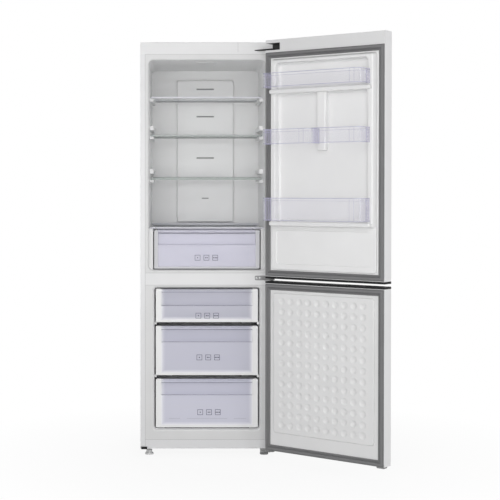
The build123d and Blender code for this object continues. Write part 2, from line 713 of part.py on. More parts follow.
# ---------------------------------------------------------------- air side
def make_air_side():
    back = fridge_depth
    duct = slab(-duct_half, duct_half, back - duct_depth, back, duct_bottom, duct_top, 8.0)
    duct = fillet(edges_at(duct, Axis.Y, back - duct_depth), 5.0)
    duct -= slab(-duct_half + duct_wall, duct_half - duct_wall, back - duct_depth + duct_wall, back + 1,
                 duct_bottom + duct_wall, duct_top - duct_wall, 6.0)
    slots = [(z, slot_width, slot_opening) for z in slot_heights]
    slots.append((small_slot_height, small_slot_width, slot_opening - 2))
    for z, width, opening in slots:
        duct -= slab(-width / 2, width / 2, back - duct_depth - 1, back - duct_depth + duct_wall + 1,
                     z - opening / 2, z + opening / 2, opening / 2 - 0.1)
        rim = slot_collar_wall
        inner_face = back - duct_depth + duct_wall
        duct += slab(-width / 2 - rim, width / 2 + rim, inner_face, inner_face + slot_collar,
                     z - opening / 2 - rim, z + opening / 2 + rim, rim)
        duct -= slab(-width / 2, width / 2, back - duct_depth - 1, back, z - opening / 2, z + opening / 2,
                     opening / 2 - 0.1)
    nodes["duct_cover"] = duct
    lamp = plate(-lamp_half, lamp_half, lamp_front, lamp_front + lamp_depth,
                 fridge_ceiling - lamp_sheet, fridge_ceiling, 10)
    nodes["lamp_cover"] = fillet(edges_at(lamp, Axis.Z, fridge_ceiling - lamp_sheet), lamp_sheet / 2)

    front, deep = evaporator_cover_y, freezer_depth
    low, high = step_height + fit_gap, freezer_ceiling - cover_ceiling_gap
    wall, cover_half = evaporator_wall, freezer_half - evaporator_gap
    cover = block(-cover_half, cover_half, front, deep, low, high)
    cover -= block(-cover_half + wall, cover_half - wall, front + wall, deep + 1, low + wall, high - wall)
    cover -= along_y(0, fan_height, front - 1, front + 3, fan_radius + 5)
    grille = [along_y(0, fan_height, front, front + wall, grille_hub)]
    for turn in range(grille_spokes):
        spoke = block(-spoke_half, spoke_half, front, front + wall, 0, fan_radius + 6)
        grille.append(Pos(0, 0, fan_height) * Rot(0, turn * 360.0 / grille_spokes, 0) * spoke)
    for ring in grille_rings:
        grille.append(along_y(0, fan_height, front, front + wall, ring + grille_bar)
                      - along_y(0, fan_height, front - 1, front + wall + 1, ring - grille_bar))
    cover += grille
    slot_x, slot_z = cover_slot_half
    for x in cover_slots_x:
        for z in cover_slots_z:
            cover -= block(x - slot_x, x + slot_x, front - 1, front + wall + 1, z - slot_z, z + slot_z)
    nodes["evaporator_cover"] = cover - machine_pipes

    fin_front, fin_back = (front + y for y in fin_span_y)
    fin_low, fin_high = (step_height + z for z in fin_rise)
    coil = [block(x - fin_sheet / 2, x + fin_sheet / 2, fin_front, fin_back, fin_low, fin_high)
            for x in range(-fin_half_span, fin_half_span + 1, fin_pitch)]
    ends = [block(x - end_sheet / 2, x + end_sheet / 2, fin_front - end_overhang, deep,
                  fin_low - end_overhang, fin_high + end_overhang) for x in (-end_x, end_x)]
    tubes = [along_x(front + y, z, -end_x - 2, end_x + 2, tube_radius)
             for y in tube_rows_y for z in range(round(fin_low) + 20, round(fin_high) - 10, tube_pitch)]
    body = ends[0] + ends[1] + tubes + coil
    nodes["evaporator"] = body - machine_pipes
    nose = fan_y + motor_set_back
    motor = along_y(0, fan_height, nose, nose + motor_length, motor_radius)
    motor = fillet(edges_at(motor, Axis.Y, nose), 4.0)
    width, height = bracket_half
    motor += block(-width, width, nose + motor_length, deep, fan_height - height, fan_height + height)
    motor -= along_y(0, fan_height, nose - 1, nose + motor_bore_depth, shaft_radius + run_gap)
    nodes["fan_motor"] = motor
    hub_front = fan_y - fan_hub_half_length
    hub = along_y(0, fan_height, hub_front, fan_y + fan_hub_half_length, fan_hub)
    hub = fillet(edges_at(hub, Axis.Y, hub_front), 5.0)
    fan = hub + along_y(0, fan_height, fan_y + fan_hub_half_length - 1, nose + motor_bore_depth - 2,
                        shaft_radius)
    for turn in range(fan_blades):
        blade = Rot(0, 0, blade_pitch) * Box(blade_chord, blade_sheet, fan_radius - blade_inset)
        blade = Pos(0, fan_y, (fan_radius + blade_inset) / 2) * blade
        fan += Pos(0, 0, fan_height) * Rot(0, turn * 360.0 / fan_blades, 0) * blade
    nodes["evaporator_fan"] = fan


# ---------------------------------------------------------------- shelves
def framed_glass(name, height, front, rear, reach, lip, rise):
    """Glass panel in a front trim, and a rear trim that stands up as a stop."""
    glass = block(-reach + 4, reach - 4, front + 3, rear - 3, height, height + glass_thickness)
    bar = block(-reach, reach, front, front + trim_depth, height - lip, height + glass_thickness + rise)
    bar = fillet(bar.edges().filter_by(Axis.X).group_by(Axis.Y)[0], 2.0)
    stop = block(-reach, reach, rear - trim_depth, rear, height, height + glass_thickness + stop_rise)
    nodes[name] = Compound([glass, bar - glass, stop - glass])


def make_shelves():
    for name, height in shelf_heights.items():
        framed_glass(name, height, shelf_front, shelf_rear, fridge_half - shelf_side_gap, trim_lip, trim_rise)
    framed_glass("crisper_cover", cover_height, cover_front, cover_rear, fridge_half - cover_side_gap, 0, 2)


# ---------------------------------------------------------------- drawers
def grip_front(width, front, bottom, top, grip):
    """Clear front: a flat lower panel, and above the grip line a set-back band under a top lip."""
    setback = 12.0
    panel = block(-width, width, front, front + 3, bottom, grip)
    panel += block(-width, width, front, front + setback + 3, grip - 3, grip)
    panel += block(-width, width, front + setback, front + setback + 3, grip - 3, top)
    panel += block(-width, width, front, front + setback + 3, top - 8, top - 5)
    panel += block(-width, width, front, front + 3, top - 14, top - 5)
    return fillet(panel.edges().filter_by(Axis.X).group_by(Axis.Y)[0].group_by(Axis.Z)[0], 1.0)


def basket(outer, rear, bottom, top, front):
    """Open box behind a drawer's front."""
    box = plate(-outer, outer, front, rear, bottom, top, 8.0)
    box -= plate(-outer + drawer_wall, outer - drawer_wall, front + drawer_wall, rear - drawer_wall,
                 bottom + drawer_wall, top + 1, 6.0)
    return box


def surround(outer, cheek, bottom, top, front, sill):
    """White frame beside and below a drawer's clear front."""
    frame = slab(-outer, outer, front, front + surround_depth, bottom, top, 6.0)
    frame -= block(-outer + cheek, outer - cheek, front - 1, front + surround_depth + 1,
                   bottom + sill, top + 1)
    return frame


def make_crisper():
    sill = 8.0
    frame = surround(crisper_half, crisper_cheek, crisper_bottom, crisper_top, drawer_front, sill)
    nodes["crisper_frame"] = frame
    inner = crisper_half - crisper_cheek
    box = basket(crisper_half - 6, crisper_rear, crisper_bottom, crisper_top - 6,
                 drawer_front + surround_depth)
    front = grip_front(inner, drawer_front + 1, crisper_bottom + sill, crisper_top, crisper_grip)
    nodes["crisper_box"] = Compound([box, front])


def make_freezer_drawers():
    inner, sill = drawer_half - drawer_cheek, 9.0
    back = drawer_front + surround_depth
    for name, (bottom, top, grip) in drawer_heights.items():
        frame = surround(drawer_half, drawer_cheek, bottom, top, drawer_front, sill)
        frame += basket(drawer_half - 1, drawer_rear(name), bottom, top - 14, back - drawer_wall)
        nodes[name + "_basket"] = frame - block(-inner, inner, drawer_front, back, bottom + sill, top)
        nodes[name + "_front"] = grip_front(inner, drawer_front + 1, bottom + sill, top - 2, grip)


# ---------------------------------------------------------------- doors
def door_skin(bottom, top):
    """Steel pan: front sheet with a return down each side."""
    skin = block(-half, half, door_face, door_plane, bottom, top)
    skin = fillet(edges_at(skin, Axis.Y, door_face, lambda e: abs(e.center().X) > half - 1
                           and e.length > door_thickness), skin_corner)
    room = block(-inner_half, inner_half, door_face + steel, door_plane + 1, bottom, top)
    room = fillet(edges_at(room, Axis.Y, door_face + steel, lambda e: abs(e.center().X) > inner_half - 1
                           and e.length > door_thickness), skin_corner - steel)
    return skin - room, room


def gasket(bottom, top):
    """Magnetic seal round the door: a flat base with a raised bead."""
    outer = half - gasket_inset
    inner = outer - gasket_width
    low, high = bottom + gasket_inset, top - gasket_inset

    def ring(grow, y0, y1, radius):
        return (slab(-outer + grow, outer - grow, y0, y1, low + grow, high - grow, radius)
                - slab(-inner - grow, inner + grow, y0 - 1, y1 + 1, low + gasket_width - grow,
                       high - gasket_width + grow, max(radius - 1, 0.5)))

    base = ring(0, door_plane, door_plane + gasket_base, 3.0)
    bead = ring(4.0, door_plane + gasket_base - 0.5, door_plane + gasket_height, 2.0)
    return base + bead


def fridge_relief(grow):
    """Everything behind the face of the fridge door's liner, with that face moved in by grow."""
    low, high = fridge_door_bottom + fridge_door_trim, cap_bottom
    face = door_plane - grow
    crest = door_plane + frame_reach - grow
    sink = door_plane - pocket_sink - grow
    deep = door_plane - pocket_sink - liner_wall - 4
    body = block(-inner_half, inner_half, deep, face, low, high)
    frame = drafted(-frame_half + grow, frame_half - grow, face, crest, frame_bottom + grow, frame_top - grow,
                    pocket_corner, frame_draft)
    wide, corner = pocket_half + grow, pocket_corner + grow
    top_low, top_high = bin_rows["top"][0] - pocket_drop, frame_top - frame_bar
    big_low = bin_rows["bottom"][0] - pocket_drop
    pockets = []
    for z0, z1 in ((top_low, top_high), (big_low, shelf_bar_bottom)):
        pocket = slab(-wide, wide, sink, crest + 5, z0 - grow, z1 + grow, corner)
        pockets.append(fillet(edges_at(pocket, Axis.Y, sink), pocket_round + grow))
        frame -= slab(-wide, wide, face - 1, crest + 5, z0 - grow, z1 + grow, corner)
    frame = fillet(edges_at(frame, Axis.Y, crest), 5.0 - grow)
    foot = half - frame_inset
    lower = slab(-foot + grow, foot - grow, deep, door_plane + lower_reach - grow,
                 lower_bottom + grow, frame_bottom + 20, pocket_corner)
    lower = fillet(edges_at(lower, Axis.Y, door_plane + lower_reach - grow), 3.5 - grow)
    edge = foot - lower_margin + grow
    panel = slab(-edge, edge, door_plane + lower_reach - lower_sink - grow, crest,
                 lower_bottom + lower_margin - grow, frame_bottom - lower_margin / 2 + grow, corner)
    body += (lower - fillet(edges_at(panel, Axis.Y, door_plane + lower_reach - lower_sink - grow),
                            lower_sink / 2)) + frame
    for top in (top_low, big_low):
        sill = slab(-sill_half + grow, sill_half - grow, face, door_plane + sill_reach - grow,
                    top - sill_height + grow, top - grow, sill_height / 3 - grow)
        body += fillet(edges_at(sill, Axis.Y, door_plane + sill_reach - grow), 4.0 - grow)
    body -= pockets
    rib_low = bin_rows["middle"][0] - 30
    rib = slab(-rib_half + grow, rib_half - grow, sink - 3, door_plane + rib_reach - grow,
               rib_low + grow, shelf_bar_bottom + 8, 10 - grow)
    body += fillet(edges_at(rib, Axis.Y, door_plane + rib_reach - grow), 6.0 - grow)
    return body


def bin_lugs():
    """Small blocks on the liner's frame and rib that carry the bins: (wall, direction, top)."""
    lugs = []
    for row, (bottom, top) in bin_rows.items():
        height = top - 16
        lugs += [(pocket_half, -1, height), (-pocket_half, 1, height)]
        if row == "middle":
            lugs += [(rib_half, 1, height), (-rib_half, -1, height)]
    return lugs


def make_fridge_door():
    low, high = fridge_door_bottom, case_height
    trim_top = low + fridge_door_trim
    skin, room = door_skin(trim_top, high)
    pocket = block(half - pocket_reach, half + 5, door_plane - pocket_depth, door_plane + 1,
                   pocket_low, pocket_high)
    nodes["fridge_door_skin"] = skin - pocket

    bore = upright(hinge_x, hinge_y, hinge_arm_z - pin_length - 2, pocket_low + 1, pin_radius + run_gap)
    cap = (room & block(-half, half, door_face, door_plane, cap_bottom, high)) - pocket
    cap += room & block(half - pocket_reach, half, door_face, door_plane - liner_wall - 1,
                        cap_bottom - 14, cap_bottom)
    nodes["fridge_door_top_cap"] = cap - bore

    pin = upright(hinge_x, hinge_y, low - 1, middle_arm_z + arm_sheet + pin_length + 2, pin_radius + run_gap)
    foot, foot_fill = door_end(low, trim_top, 1)
    nodes["fridge_door_bottom_cap"] = foot - pin

    behind = fridge_relief(liner_wall)
    liner = fridge_relief(0) - behind
    for wall, way, height in bin_lugs():
        x0, x1 = sorted((wall - way * 1.0, wall + way * (lug_reach - 0.4)))
        liner += block(x0, x1, door_plane - pocket_sink - 1, bin_back + 16, height - lug_height, height)
    deep = door_plane - pocket_sink - liner_wall - 4
    nodes["fridge_door_liner"] = liner & block(-inner_half, inner_half, deep + 0.01, 60, trim_top, cap_bottom)

    foam = room & block(-half, half, door_face, deep, trim_top, cap_bottom)
    foam += behind
    foam -= [foot_fill, nodes["fridge_door_top_cap"], nodes["fridge_door_liner"], bore, pin]
    nodes["fridge_door_foam"] = foam
    nodes["fridge_door_gasket"] = gasket(trim_top, cap_bottom)


def door_end(low, high, inward):
    """End cap of a door with its grip scoop and hinge boss. inward is the way into the door along Z.

    Returns the cap and the room that it takes inside the door."""
    face = high if inward > 0 else low
    mouth = low if inward > 0 else high
    end = block(-half, half, door_face, door_plane, low, high)
    end = fillet(end.edges().filter_by(Axis.Z).group_by(Axis.Y)[0], skin_corner)
    z0, z1 = sorted((face, mouth + inward * (grip_depth + grip_wall)))
    scoop = block(grip_x[0] - grip_wall, grip_x[1] + grip_wall, grip_y[0] - grip_wall,
                  grip_y[1] + grip_wall, z0, z1)
    b0, b1 = sorted((face, mouth + inward * (pin_length + 6)))
    boss = block(hinge_x - boss_half, inner_half, hinge_y - boss_half, hinge_y + boss_half, b0, b1)
    s0, s1 = sorted((mouth - inward, mouth + inward * grip_depth))
    hollow = plate(grip_x[0], grip_x[1], grip_y[0], grip_y[1], s0, s1, 6.0)
    return (end + scoop + boss) - hollow, scoop + boss


def freezer_relief(grow):
    """Everything behind the face of the freezer door's liner, with that face moved in by grow."""
    low = freezer_door_bottom + freezer_end_height
    high = freezer_door_top - freezer_door_trim
    deep = door_plane - pocket_sink - liner_wall - 4
    crest = door_plane + pad_reach - grow
    body = block(-inner_half, inner_half, deep, door_plane - grow, low, high)
    pad = slab(-pad_half + grow, pad_half - grow, deep, crest, pad_bottom + grow, pad_top - grow, 14 - grow)
    pad = fillet(edges_at(pad, Axis.Y, crest), 5.0 - grow)
    ball = (dimple_radius ** 2 + dimple_depth ** 2) / (2 * dimple_depth)
    balls = []
    for column in range(dimple_columns):
        for row in range(dimple_rows):
            x = half - dimple_first_u - column * dimple_pitch
            z = dimple_first_z + row * dimple_pitch
            balls.append(Pos(x, door_plane + pad_reach + ball - dimple_depth, z) * Sphere(ball + grow))
    return body + (pad - balls)


def make_freezer_door():
    low, high = freezer_door_bottom, freezer_door_top
    trim_low, end_top = high - freezer_door_trim, low + freezer_end_height
    skin, room = door_skin(low, trim_low)
    nodes["freezer_door_skin"] = skin
    pin = upright(hinge_x, hinge_y, middle_arm_z - pin_length - 2, high + 1, pin_radius + run_gap)
    head, head_fill = door_end(trim_low, high, -1)
    nodes["freezer_door_top_cap"] = head - pin

    foot_pin = upright(hinge_x, hinge_y, low - 1, low + pin_length - 3, pin_radius + run_gap)
    foot = room & block(-half, half, door_face, door_plane, low, end_top)
    boss = block(hinge_x - boss_half, inner_half, hinge_y - boss_half, hinge_y + boss_half,
                 low, low + pin_length + 4)
    plug = block(-half + 3, -half + 38, door_plane - 30, door_plane - 4, low - 7, low)
    nodes["freezer_door_bottom_cap"] = (foot + boss + plug) - foot_pin

    behind = freezer_relief(liner_wall)
    deep = door_plane - pocket_sink - liner_wall - 4
    liner = freezer_relief(0) - behind
    nodes["freezer_door_liner"] = liner & block(-inner_half, inner_half, deep + 0.01, 60, end_top, trim_low)
    foam = room & block(-half, half, door_face, deep, end_top, trim_low)
    foam += behind
    nodes["freezer_door_foam"] = foam - [head_fill, boss, pin, foot_pin]
    nodes["freezer_door_gasket"] = gasket(low, trim_low)


# ---------------------------------------------------------------- door bins
def door_bin(x0, x1, back_x0, back_x1, bottom, top, tabs):
    """Tray that hangs in the pocket of the door's liner, its front part wider than the pocket."""
    shelf = door_plane + frame_reach + 2
    front, back = door_plane + bin_reach, bin_back

    def tray(shrink, z0, z1):
        body = plate(x0 + shrink, x1 - shrink, shelf + shrink, front - shrink, z0, z1, bin_corner - shrink)
        body += block(x0 + shrink, x1 - shrink, shelf + shrink, shelf + bin_corner + 2, z0, z1)
        return body + block(back_x0 + shrink, back_x1 - shrink, back + shrink, shelf + bin_corner, z0, z1)

    tub = tray(0, bottom, top) - tray(bin_wall, bottom + bin_wall, top + 1)
    for wall, way in tabs:
        a, b = sorted((wall + way * bin_wall / 2, wall - way * (lug_reach - 0.4)))
        tub += block(a, b, back + 1, back + 15, top - 16 + fit_gap, top - 6)
    return tub


def make_bins():
    side = pocket_half - lug_reach
    for row in ("top", "bottom"):
        bottom, top = bin_rows[row]
        nodes["door_bin_" + row] = door_bin(-bin_half, bin_half, -side, side, bottom, top,
                                            [(-side, 1), (side, -1)])
    bottom, top = bin_rows["middle"]
    rib = rib_half + lug_reach
    nodes["door_bin_middle_hinge"] = door_bin(bin_split, bin_half, rib, side, bottom, top,
                                              [(rib, 1), (side, -1)])
    nodes["door_bin_middle_free"] = door_bin(-bin_half, -bin_split, -side, -rib, bottom, top,
                                             [(-side, 1), (-rib, -1)])


# ---------------------------------------------------------------- feet and rollers
def make_feet():
    for name, x in (("levelling_foot_left", -foot_x), ("levelling_foot_right", foot_x)):
        sole = upright(x, foot_y, 0, foot_height, foot_radius)
        sole = chamfer(edges_at(sole, Axis.Z, foot_height), 3.0)
        collar = Pos(x, foot_y, foot_height + 6) * Cylinder(foot_radius - 6, 12)
        nodes[name] = sole + collar + upright(x, foot_y, foot_height, base_top + 12, stem_radius)
    for name, x in (("rear_roller_left", -roller_x), ("rear_roller_right", roller_x)):
        wheel = along_x(roller_y, roller_radius, x - roller_width / 2, x + roller_width / 2, roller_radius)
        wheel = fillet(wheel.edges().filter_by(GeomType.CIRCLE), 2.0)
        nodes[name] = wheel - along_x(roller_y, roller_radius, x - roller_width, x + roller_width,
                                      axle_radius + run_gap)


# ---------------------------------------------------------------- assembly
screws = screw_set()
hinge_screw_shanks = [shank for head, shank in screws]
condenser_loops = [condenser_loop(-1), condenser_loop(1)]
suction_pipes = [suction_line()]
machine_pipes = [*condenser_loops, *suction_pipes]

make_case()
make_top_cap()
make_base()
make_front_trims()
make_foam()
make_fridge_liner()
make_freezer_liner()
make_hinges()
nodes["hinge_screws"] = Compound([head + shank for head, shank in screws])
make_machine()
make_air_side()
make_shelves()
make_crisper()
make_freezer_drawers()
make_fridge_door()
make_freezer_door()
make_bins()
make_feet()

for name in list(nodes):
    if name.startswith(("fridge_door", "freezer_door", "door_bin")):
        nodes[name] = swung(nodes[name])

outline = [shape.bounding_box() for name, shape in nodes.items()
           if name.startswith(("outer_case", "fridge_door", "freezer_door", "door_bin"))]
plan_x = (min(box.min.X for box in outline) + max(box.max.X for box in outline)) / 2
plan_y = (min(box.min.Y for box in outline) + max(box.max.Y for box in outline)) / 2
to_origin = Pos(-plan_x, -plan_y, 0)

os.makedirs("parts", exist_ok=True)
for name, shape in nodes.items():
    export_step(to_origin * shape, f"parts/{name}.step")
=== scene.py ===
"""Bottom freezer refrigerator with both doors open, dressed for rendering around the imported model."""
import json
from math import cos, pi, radians, sin

import bmesh
import bpy
from mathutils import Matrix, Vector


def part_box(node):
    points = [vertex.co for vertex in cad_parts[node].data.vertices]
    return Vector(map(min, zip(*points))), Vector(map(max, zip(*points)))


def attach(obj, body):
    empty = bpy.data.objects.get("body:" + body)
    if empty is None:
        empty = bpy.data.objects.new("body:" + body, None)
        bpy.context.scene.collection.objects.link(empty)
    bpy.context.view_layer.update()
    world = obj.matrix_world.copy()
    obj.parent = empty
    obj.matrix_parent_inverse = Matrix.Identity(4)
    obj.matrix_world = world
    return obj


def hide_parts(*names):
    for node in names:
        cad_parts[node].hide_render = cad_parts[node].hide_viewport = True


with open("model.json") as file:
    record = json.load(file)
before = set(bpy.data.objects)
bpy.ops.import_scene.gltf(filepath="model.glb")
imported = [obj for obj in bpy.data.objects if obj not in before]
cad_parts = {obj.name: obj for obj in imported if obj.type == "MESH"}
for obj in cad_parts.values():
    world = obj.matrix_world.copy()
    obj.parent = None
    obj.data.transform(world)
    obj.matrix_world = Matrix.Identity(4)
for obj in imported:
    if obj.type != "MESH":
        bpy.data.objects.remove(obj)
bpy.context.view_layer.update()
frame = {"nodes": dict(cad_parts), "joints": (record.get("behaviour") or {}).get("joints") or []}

nodes = frame["nodes"]

# ================================================================ camera
# The photograph was taken straight on from a little left of the cabinet's middle, at chest height, with a
# long lens. The cabinet's frame is in millimetres: X from its middle, Y from its front, Z from the floor.
case_low, case_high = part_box("outer_case")
cabinet = Matrix.Translation(((case_low.x + case_high.x) / 2, case_low.y, 0)) @ Matrix.Scale(0.001, 4)
hinge = next(joint for joint in frame["joints"] if joint["name"] == "fridge_door_hinge")
pin = Matrix.Translation((hinge["pos_m"][0], hinge["pos_m"][1], 0))
open_turn = Matrix.Rotation(radians(-hinge["range_deg"][0]), 4, "Z")
doors = pin @ open_turn @ pin.inverted() @ cabinet      # the same frame carried round with the open doors

camera_distance = 5712.0
camera_side = -98.0
camera_height = 1198.0
camera_dip = 0.95           # degrees below level
camera = bpy.data.objects.new("camera", bpy.data.cameras.new("camera"))
bpy.context.scene.collection.objects.link(camera)
camera.location = cabinet @ Vector((camera_side, -camera_distance, camera_height))
camera.rotation_euler = (radians(90 - camera_dip), 0, 0)
camera.data.lens = 92.2
camera.data.sensor_width = 36.0
camera.data.shift_x = 0.13
camera.data.shift_y = -0.08
camera.data.clip_end = 60
bpy.context.scene.camera = camera
bpy.context.scene.view_settings.view_transform = "Standard"
bpy.context.scene.cycles.transparent_max_bounces = 32      # enough for a look through all shelves or bins


# ================================================================ studio
# A pale floor and a white surround that the camera, glossy metal and clear plastic see as white, while the
# object is lit by soft panels in front of it, beside it and behind it and by an even grey sky.
class Wire:
    """A socket of a material's node tree. Arithmetic on it adds Math nodes."""

    def __init__(self, tree, socket=None):
        self.tree = tree
        self.socket = socket

    def node(self, kind, settings=None, sockets=None, output=0):
        """Adds one node. Its settings come first, then the values or links of its sockets."""
        made = self.tree.nodes.new("ShaderNode" + kind)
        for name, value in (settings or {}).items():
            setattr(made, name, value)
        for name, value in (sockets or {}).items():
            if isinstance(value, Wire):
                self.tree.links.new(value.socket, made.inputs[name])
            else:
                made.inputs[name].default_value = value
        return Wire(self.tree, made.outputs[output])

    def maths(self, operation, *values):
        return self.node("Math", {"operation": operation}, dict(enumerate(values)))

    def __add__(self, other):
        return self.maths("ADD", self, other)

    def __sub__(self, other):
        return self.maths("SUBTRACT", self, other)

    def __rsub__(self, other):
        return self.maths("SUBTRACT", other, self)

    def __mul__(self, other):
        return self.maths("MULTIPLY", self, other)

    def __gt__(self, other):
        return self.maths("GREATER_THAN", self, other)

    __radd__ = __add__
    __rmul__ = __mul__

    def axis(self, name):
        """One coordinate of a vector."""
        return self.node("SeparateXYZ", {}, {0: self}, name)

    def blend(self, low, high):
        """The colour low where this is 0 and high where it is 1."""
        return self.node("Mix", {"data_type": "RGBA"}, {0: self, 6: low, 7: high}, 2)


def shade(red, green=None, blue=None):
    """A colour as a picture shows it, 0 to 255, as the linear values that a shader takes."""
    values = [red, green if green is not None else red, blue if blue is not None else red]
    linear = [v / 255 / 12.92 if v < 10.3 else ((v / 255 + 0.055) / 1.055) ** 2.4 for v in values]
    return (*linear, 1.0)


def seen_directly(wire):
    """1 for what the camera, a reflection or a clear piece shows, 0 for the light that falls on things."""
    rays = [wire.node("LightPath", output=name) for name in ("Is Camera Ray", "Is Glossy Ray",
                                                             "Is Transmission Ray")]
    return wire.maths("MINIMUM", rays[0] + rays[1] + rays[2], 1.0)


def studio_floor():
    """Seen as white, with a tenth of the object's shadow left close to its foot and none further off."""
    shadow_kept, near, floor_grey = 0.1, 0.45, 228
    floor = bpy.data.materials.new("studio_floor")
    floor.use_nodes = True
    wire = Wire(floor.node_tree)
    shader = floor.node_tree.nodes["Principled BSDF"]
    shader.inputs["Base Color"].default_value = shade(floor_grey)
    shader.inputs["Roughness"].default_value = 0.9
    glow = wire.node("Emission", {}, {"Color": (1, 1, 1, 1), "Strength": 1.0})
    lit = Wire(floor.node_tree, shader.outputs[0])
    spot = wire.node("TexCoord", output="Object")
    away = wire.node("VectorMath", {"operation": "LENGTH"}, {0: spot}, "Value")
    fade = wire.maths("MINIMUM", wire.maths("MAXIMUM", away - near, 0.0), 1.0)
    white = seen_directly(wire) * (fade * shadow_kept + (1 - shadow_kept))
    mixed = wire.node("MixShader", {}, {0: white, 1: lit, 2: glow})
    floor.node_tree.links.new(mixed.socket, floor.node_tree.nodes["Material Output"].inputs[0])
    return floor


floor_reach = 14.0
floor_mesh = bpy.data.meshes.new("floor")
floor_corners = ((-1, -1), (1, -1), (1, 1), (-1, 1))
floor_drop = 0.0005         # just under the feet
floor_mesh.from_pydata([(x * floor_reach, y * floor_reach, -floor_drop) for x, y in floor_corners],
                       [], [(0, 1, 2, 3)])
floor_mesh.materials.append(studio_floor())
floor = bpy.data.objects.new("floor", floor_mesh)
bpy.context.scene.collection.objects.link(floor)

world = bpy.data.worlds.new("studio_sky")
world.use_nodes = True
sky = Wire(world.node_tree)
sky_light = 0.25
sky_colour = seen_directly(sky).blend((sky_light, sky_light, sky_light, 1), (1, 1, 1, 1))
world.node_tree.links.new(sky_colour.socket, world.node_tree.nodes["Background"].inputs["Color"])
bpy.context.scene.world = world


def soft_panel(name, place, aim, width, height, power):
    """Rectangular studio light at one point of the cabinet's frame, turned to another."""
    light = bpy.data.lights.new(name, "AREA")
    light.shape = "RECTANGLE"
    light.size, light.size_y = width, height
    light.energy = power
    lamp = bpy.data.objects.new(name, light)
    bpy.context.scene.collection.objects.link(lamp)
    lamp.location = cabinet @ Vector(place)
    lamp.rotation_euler = (cabinet @ Vector(aim) - lamp.location).to_track_quat("-Z", "Y").to_euler()


soft_panel("key_panel", (-300, -4200, 2900), aim=(0, 0, 1000), width=3.2, height=1.8, power=53)
soft_panel("low_panel", (-100, -4600, 1000), aim=(0, 0, 900), width=3.4, height=1.6, power=60)
soft_panel("left_panel", (-3600, -3300, 1500), aim=(0, 100, 1100), width=2.0, height=2.4, power=22)
soft_panel("right_panel", (3600, -2900, 1500), aim=(0, 100, 1000), width=2.0, height=2.4, power=38)
soft_panel("back_panel", (700, 4600, 2600), aim=(0, 600, 900), width=3.4, height=2.0, power=95)


# ================================================================ outer case
# Both sides and the top are one bent sheet of painted steel, with a narrow return down each side of the
# front. The enamel has a fine orange peel. Thin grey bars paint a hair line of shadow where the return meets
# the liner and along the joints of the rail, the foot plate and the cap.


def finish(name, surface):
    """A material. surface gives its shader's sockets, each a constant or a Wire."""
    material = bpy.data.materials.new(name)
    material.use_nodes = True
    tree = material.node_tree
    shader = tree.nodes["Principled BSDF"]
    wire = Wire(tree)
    spot = wire.node("TexCoord", output="Object")
    for socket, value in surface(wire, spot).items():
        if isinstance(value, Wire):
            tree.links.new(value.socket, shader.inputs[socket])
        else:
            shader.inputs[socket].default_value = value
    return material


def noise(wire, spot, scale, detail=2.0):
    return wire.node("TexNoise", {}, {"Vector": spot, "Scale": scale, "Detail": detail}, "Fac")


def relief(wire, height, depth, strength=1.0):
    """Normal bumped by a height from 0 to 1, whose full height is depth in metres."""
    return wire.node("Bump", {}, {"Strength": strength, "Distance": depth, "Height": height})


def dress(material, *names):
    """Gives CAD nodes their finish."""
    for name in names:
        mesh = nodes[name].data
        mesh.materials.clear()
        mesh.materials.append(material)


def enamel(low, high):
    def surface(wire, spot):
        peel = noise(wire, spot, 420.0)
        patch = noise(wire, spot, 3.0)
        return {"Base Color": patch.blend(shade(low, low, low + 1), shade(high, high, high + 1)),
                "Roughness": 0.3 + peel * 0.08, "Coat Weight": 0.25, "Coat Roughness": 0.12,
                "Normal": relief(wire, peel, 0.00003)}
    return surface


white_enamel = finish("white_enamel", enamel(210, 215))
dress(white_enamel, "outer_case")


def mesh_piece(name, shape, material, body, place=cabinet, smooth=False):
    """A piece from a bmesh, which is used up, drawn in millimetres of a place: the cabinet or the doors."""
    mesh = bpy.data.meshes.new(name)
    bmesh.ops.recalc_face_normals(shape, faces=shape.faces)
    shape.to_mesh(mesh)
    shape.free()
    mesh.transform(place)
    for polygon in mesh.polygons:
        polygon.use_smooth = smooth
    mesh.materials.append(material)
    piece = bpy.data.objects.new(name, mesh)
    bpy.context.scene.collection.objects.link(piece)
    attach(piece, body)
    return piece


def add_bar(shape, low, high, bevel=0.0):
    """Adds a bar between two corners to a bmesh, its edges broken by a bevel."""
    low, high = Vector(low), Vector(high)
    made = bmesh.ops.create_cube(shape, size=1.0)["verts"]
    middle, size = (low + high) / 2, high - low
    for vert in made:
        vert.co = Vector((middle[i] + vert.co[i] * size[i] for i in range(3)))
    if bevel:
        edges = list({edge for vert in made for edge in vert.link_edges})
        bmesh.ops.bevel(shape, geom=edges, offset=bevel, segments=2, affect="EDGES", profile=0.5)


def extent(node, place):
    """Lowest and highest corners of a CAD node in the millimetres of a place: the cabinet or the doors."""
    back = place.inverted()
    points = [back @ vert.co for vert in nodes[node].data.vertices]
    return [Vector([pick(point[i] for point in points) for i in range(3)]) for pick in (min, max)]


def joint_shadow(wire, spot):
    grain = noise(wire, spot, 300.0)
    return {"Base Color": grain.blend(shade(150), shade(162)), "Roughness": 0.8}


painted_shadow_line = finish("joint_painted_shadow_line", joint_shadow)
cap_low, cap_high = extent("top_front_cap", cabinet)
rail_low, rail_high = extent("mullion_rail", cabinet)
kick_low, kick_high = extent("kick_plate", cabinet)
line_half, line_proud, line_sunk, line_bevel = 0.5, 0.25, 0.3, 0.1
# Thin grey bars on the front joints are painted shadow lines, not grooves.
joints_shape = bmesh.new()
for x in (rail_low.x, rail_high.x):
    add_bar(joints_shape, (x - line_half, -line_proud, kick_low.z), (x + line_half, line_sunk, cap_low.z),
            line_bevel)
for z in (rail_low.z, rail_high.z, kick_high.z, cap_low.z):
    add_bar(joints_shape, (rail_low.x, -line_proud, z - line_half), (rail_high.x, line_sunk, z + line_half),
            line_bevel)
mesh_piece("front_joint_shadow_lines", joints_shape, painted_shadow_line, "cabinet")
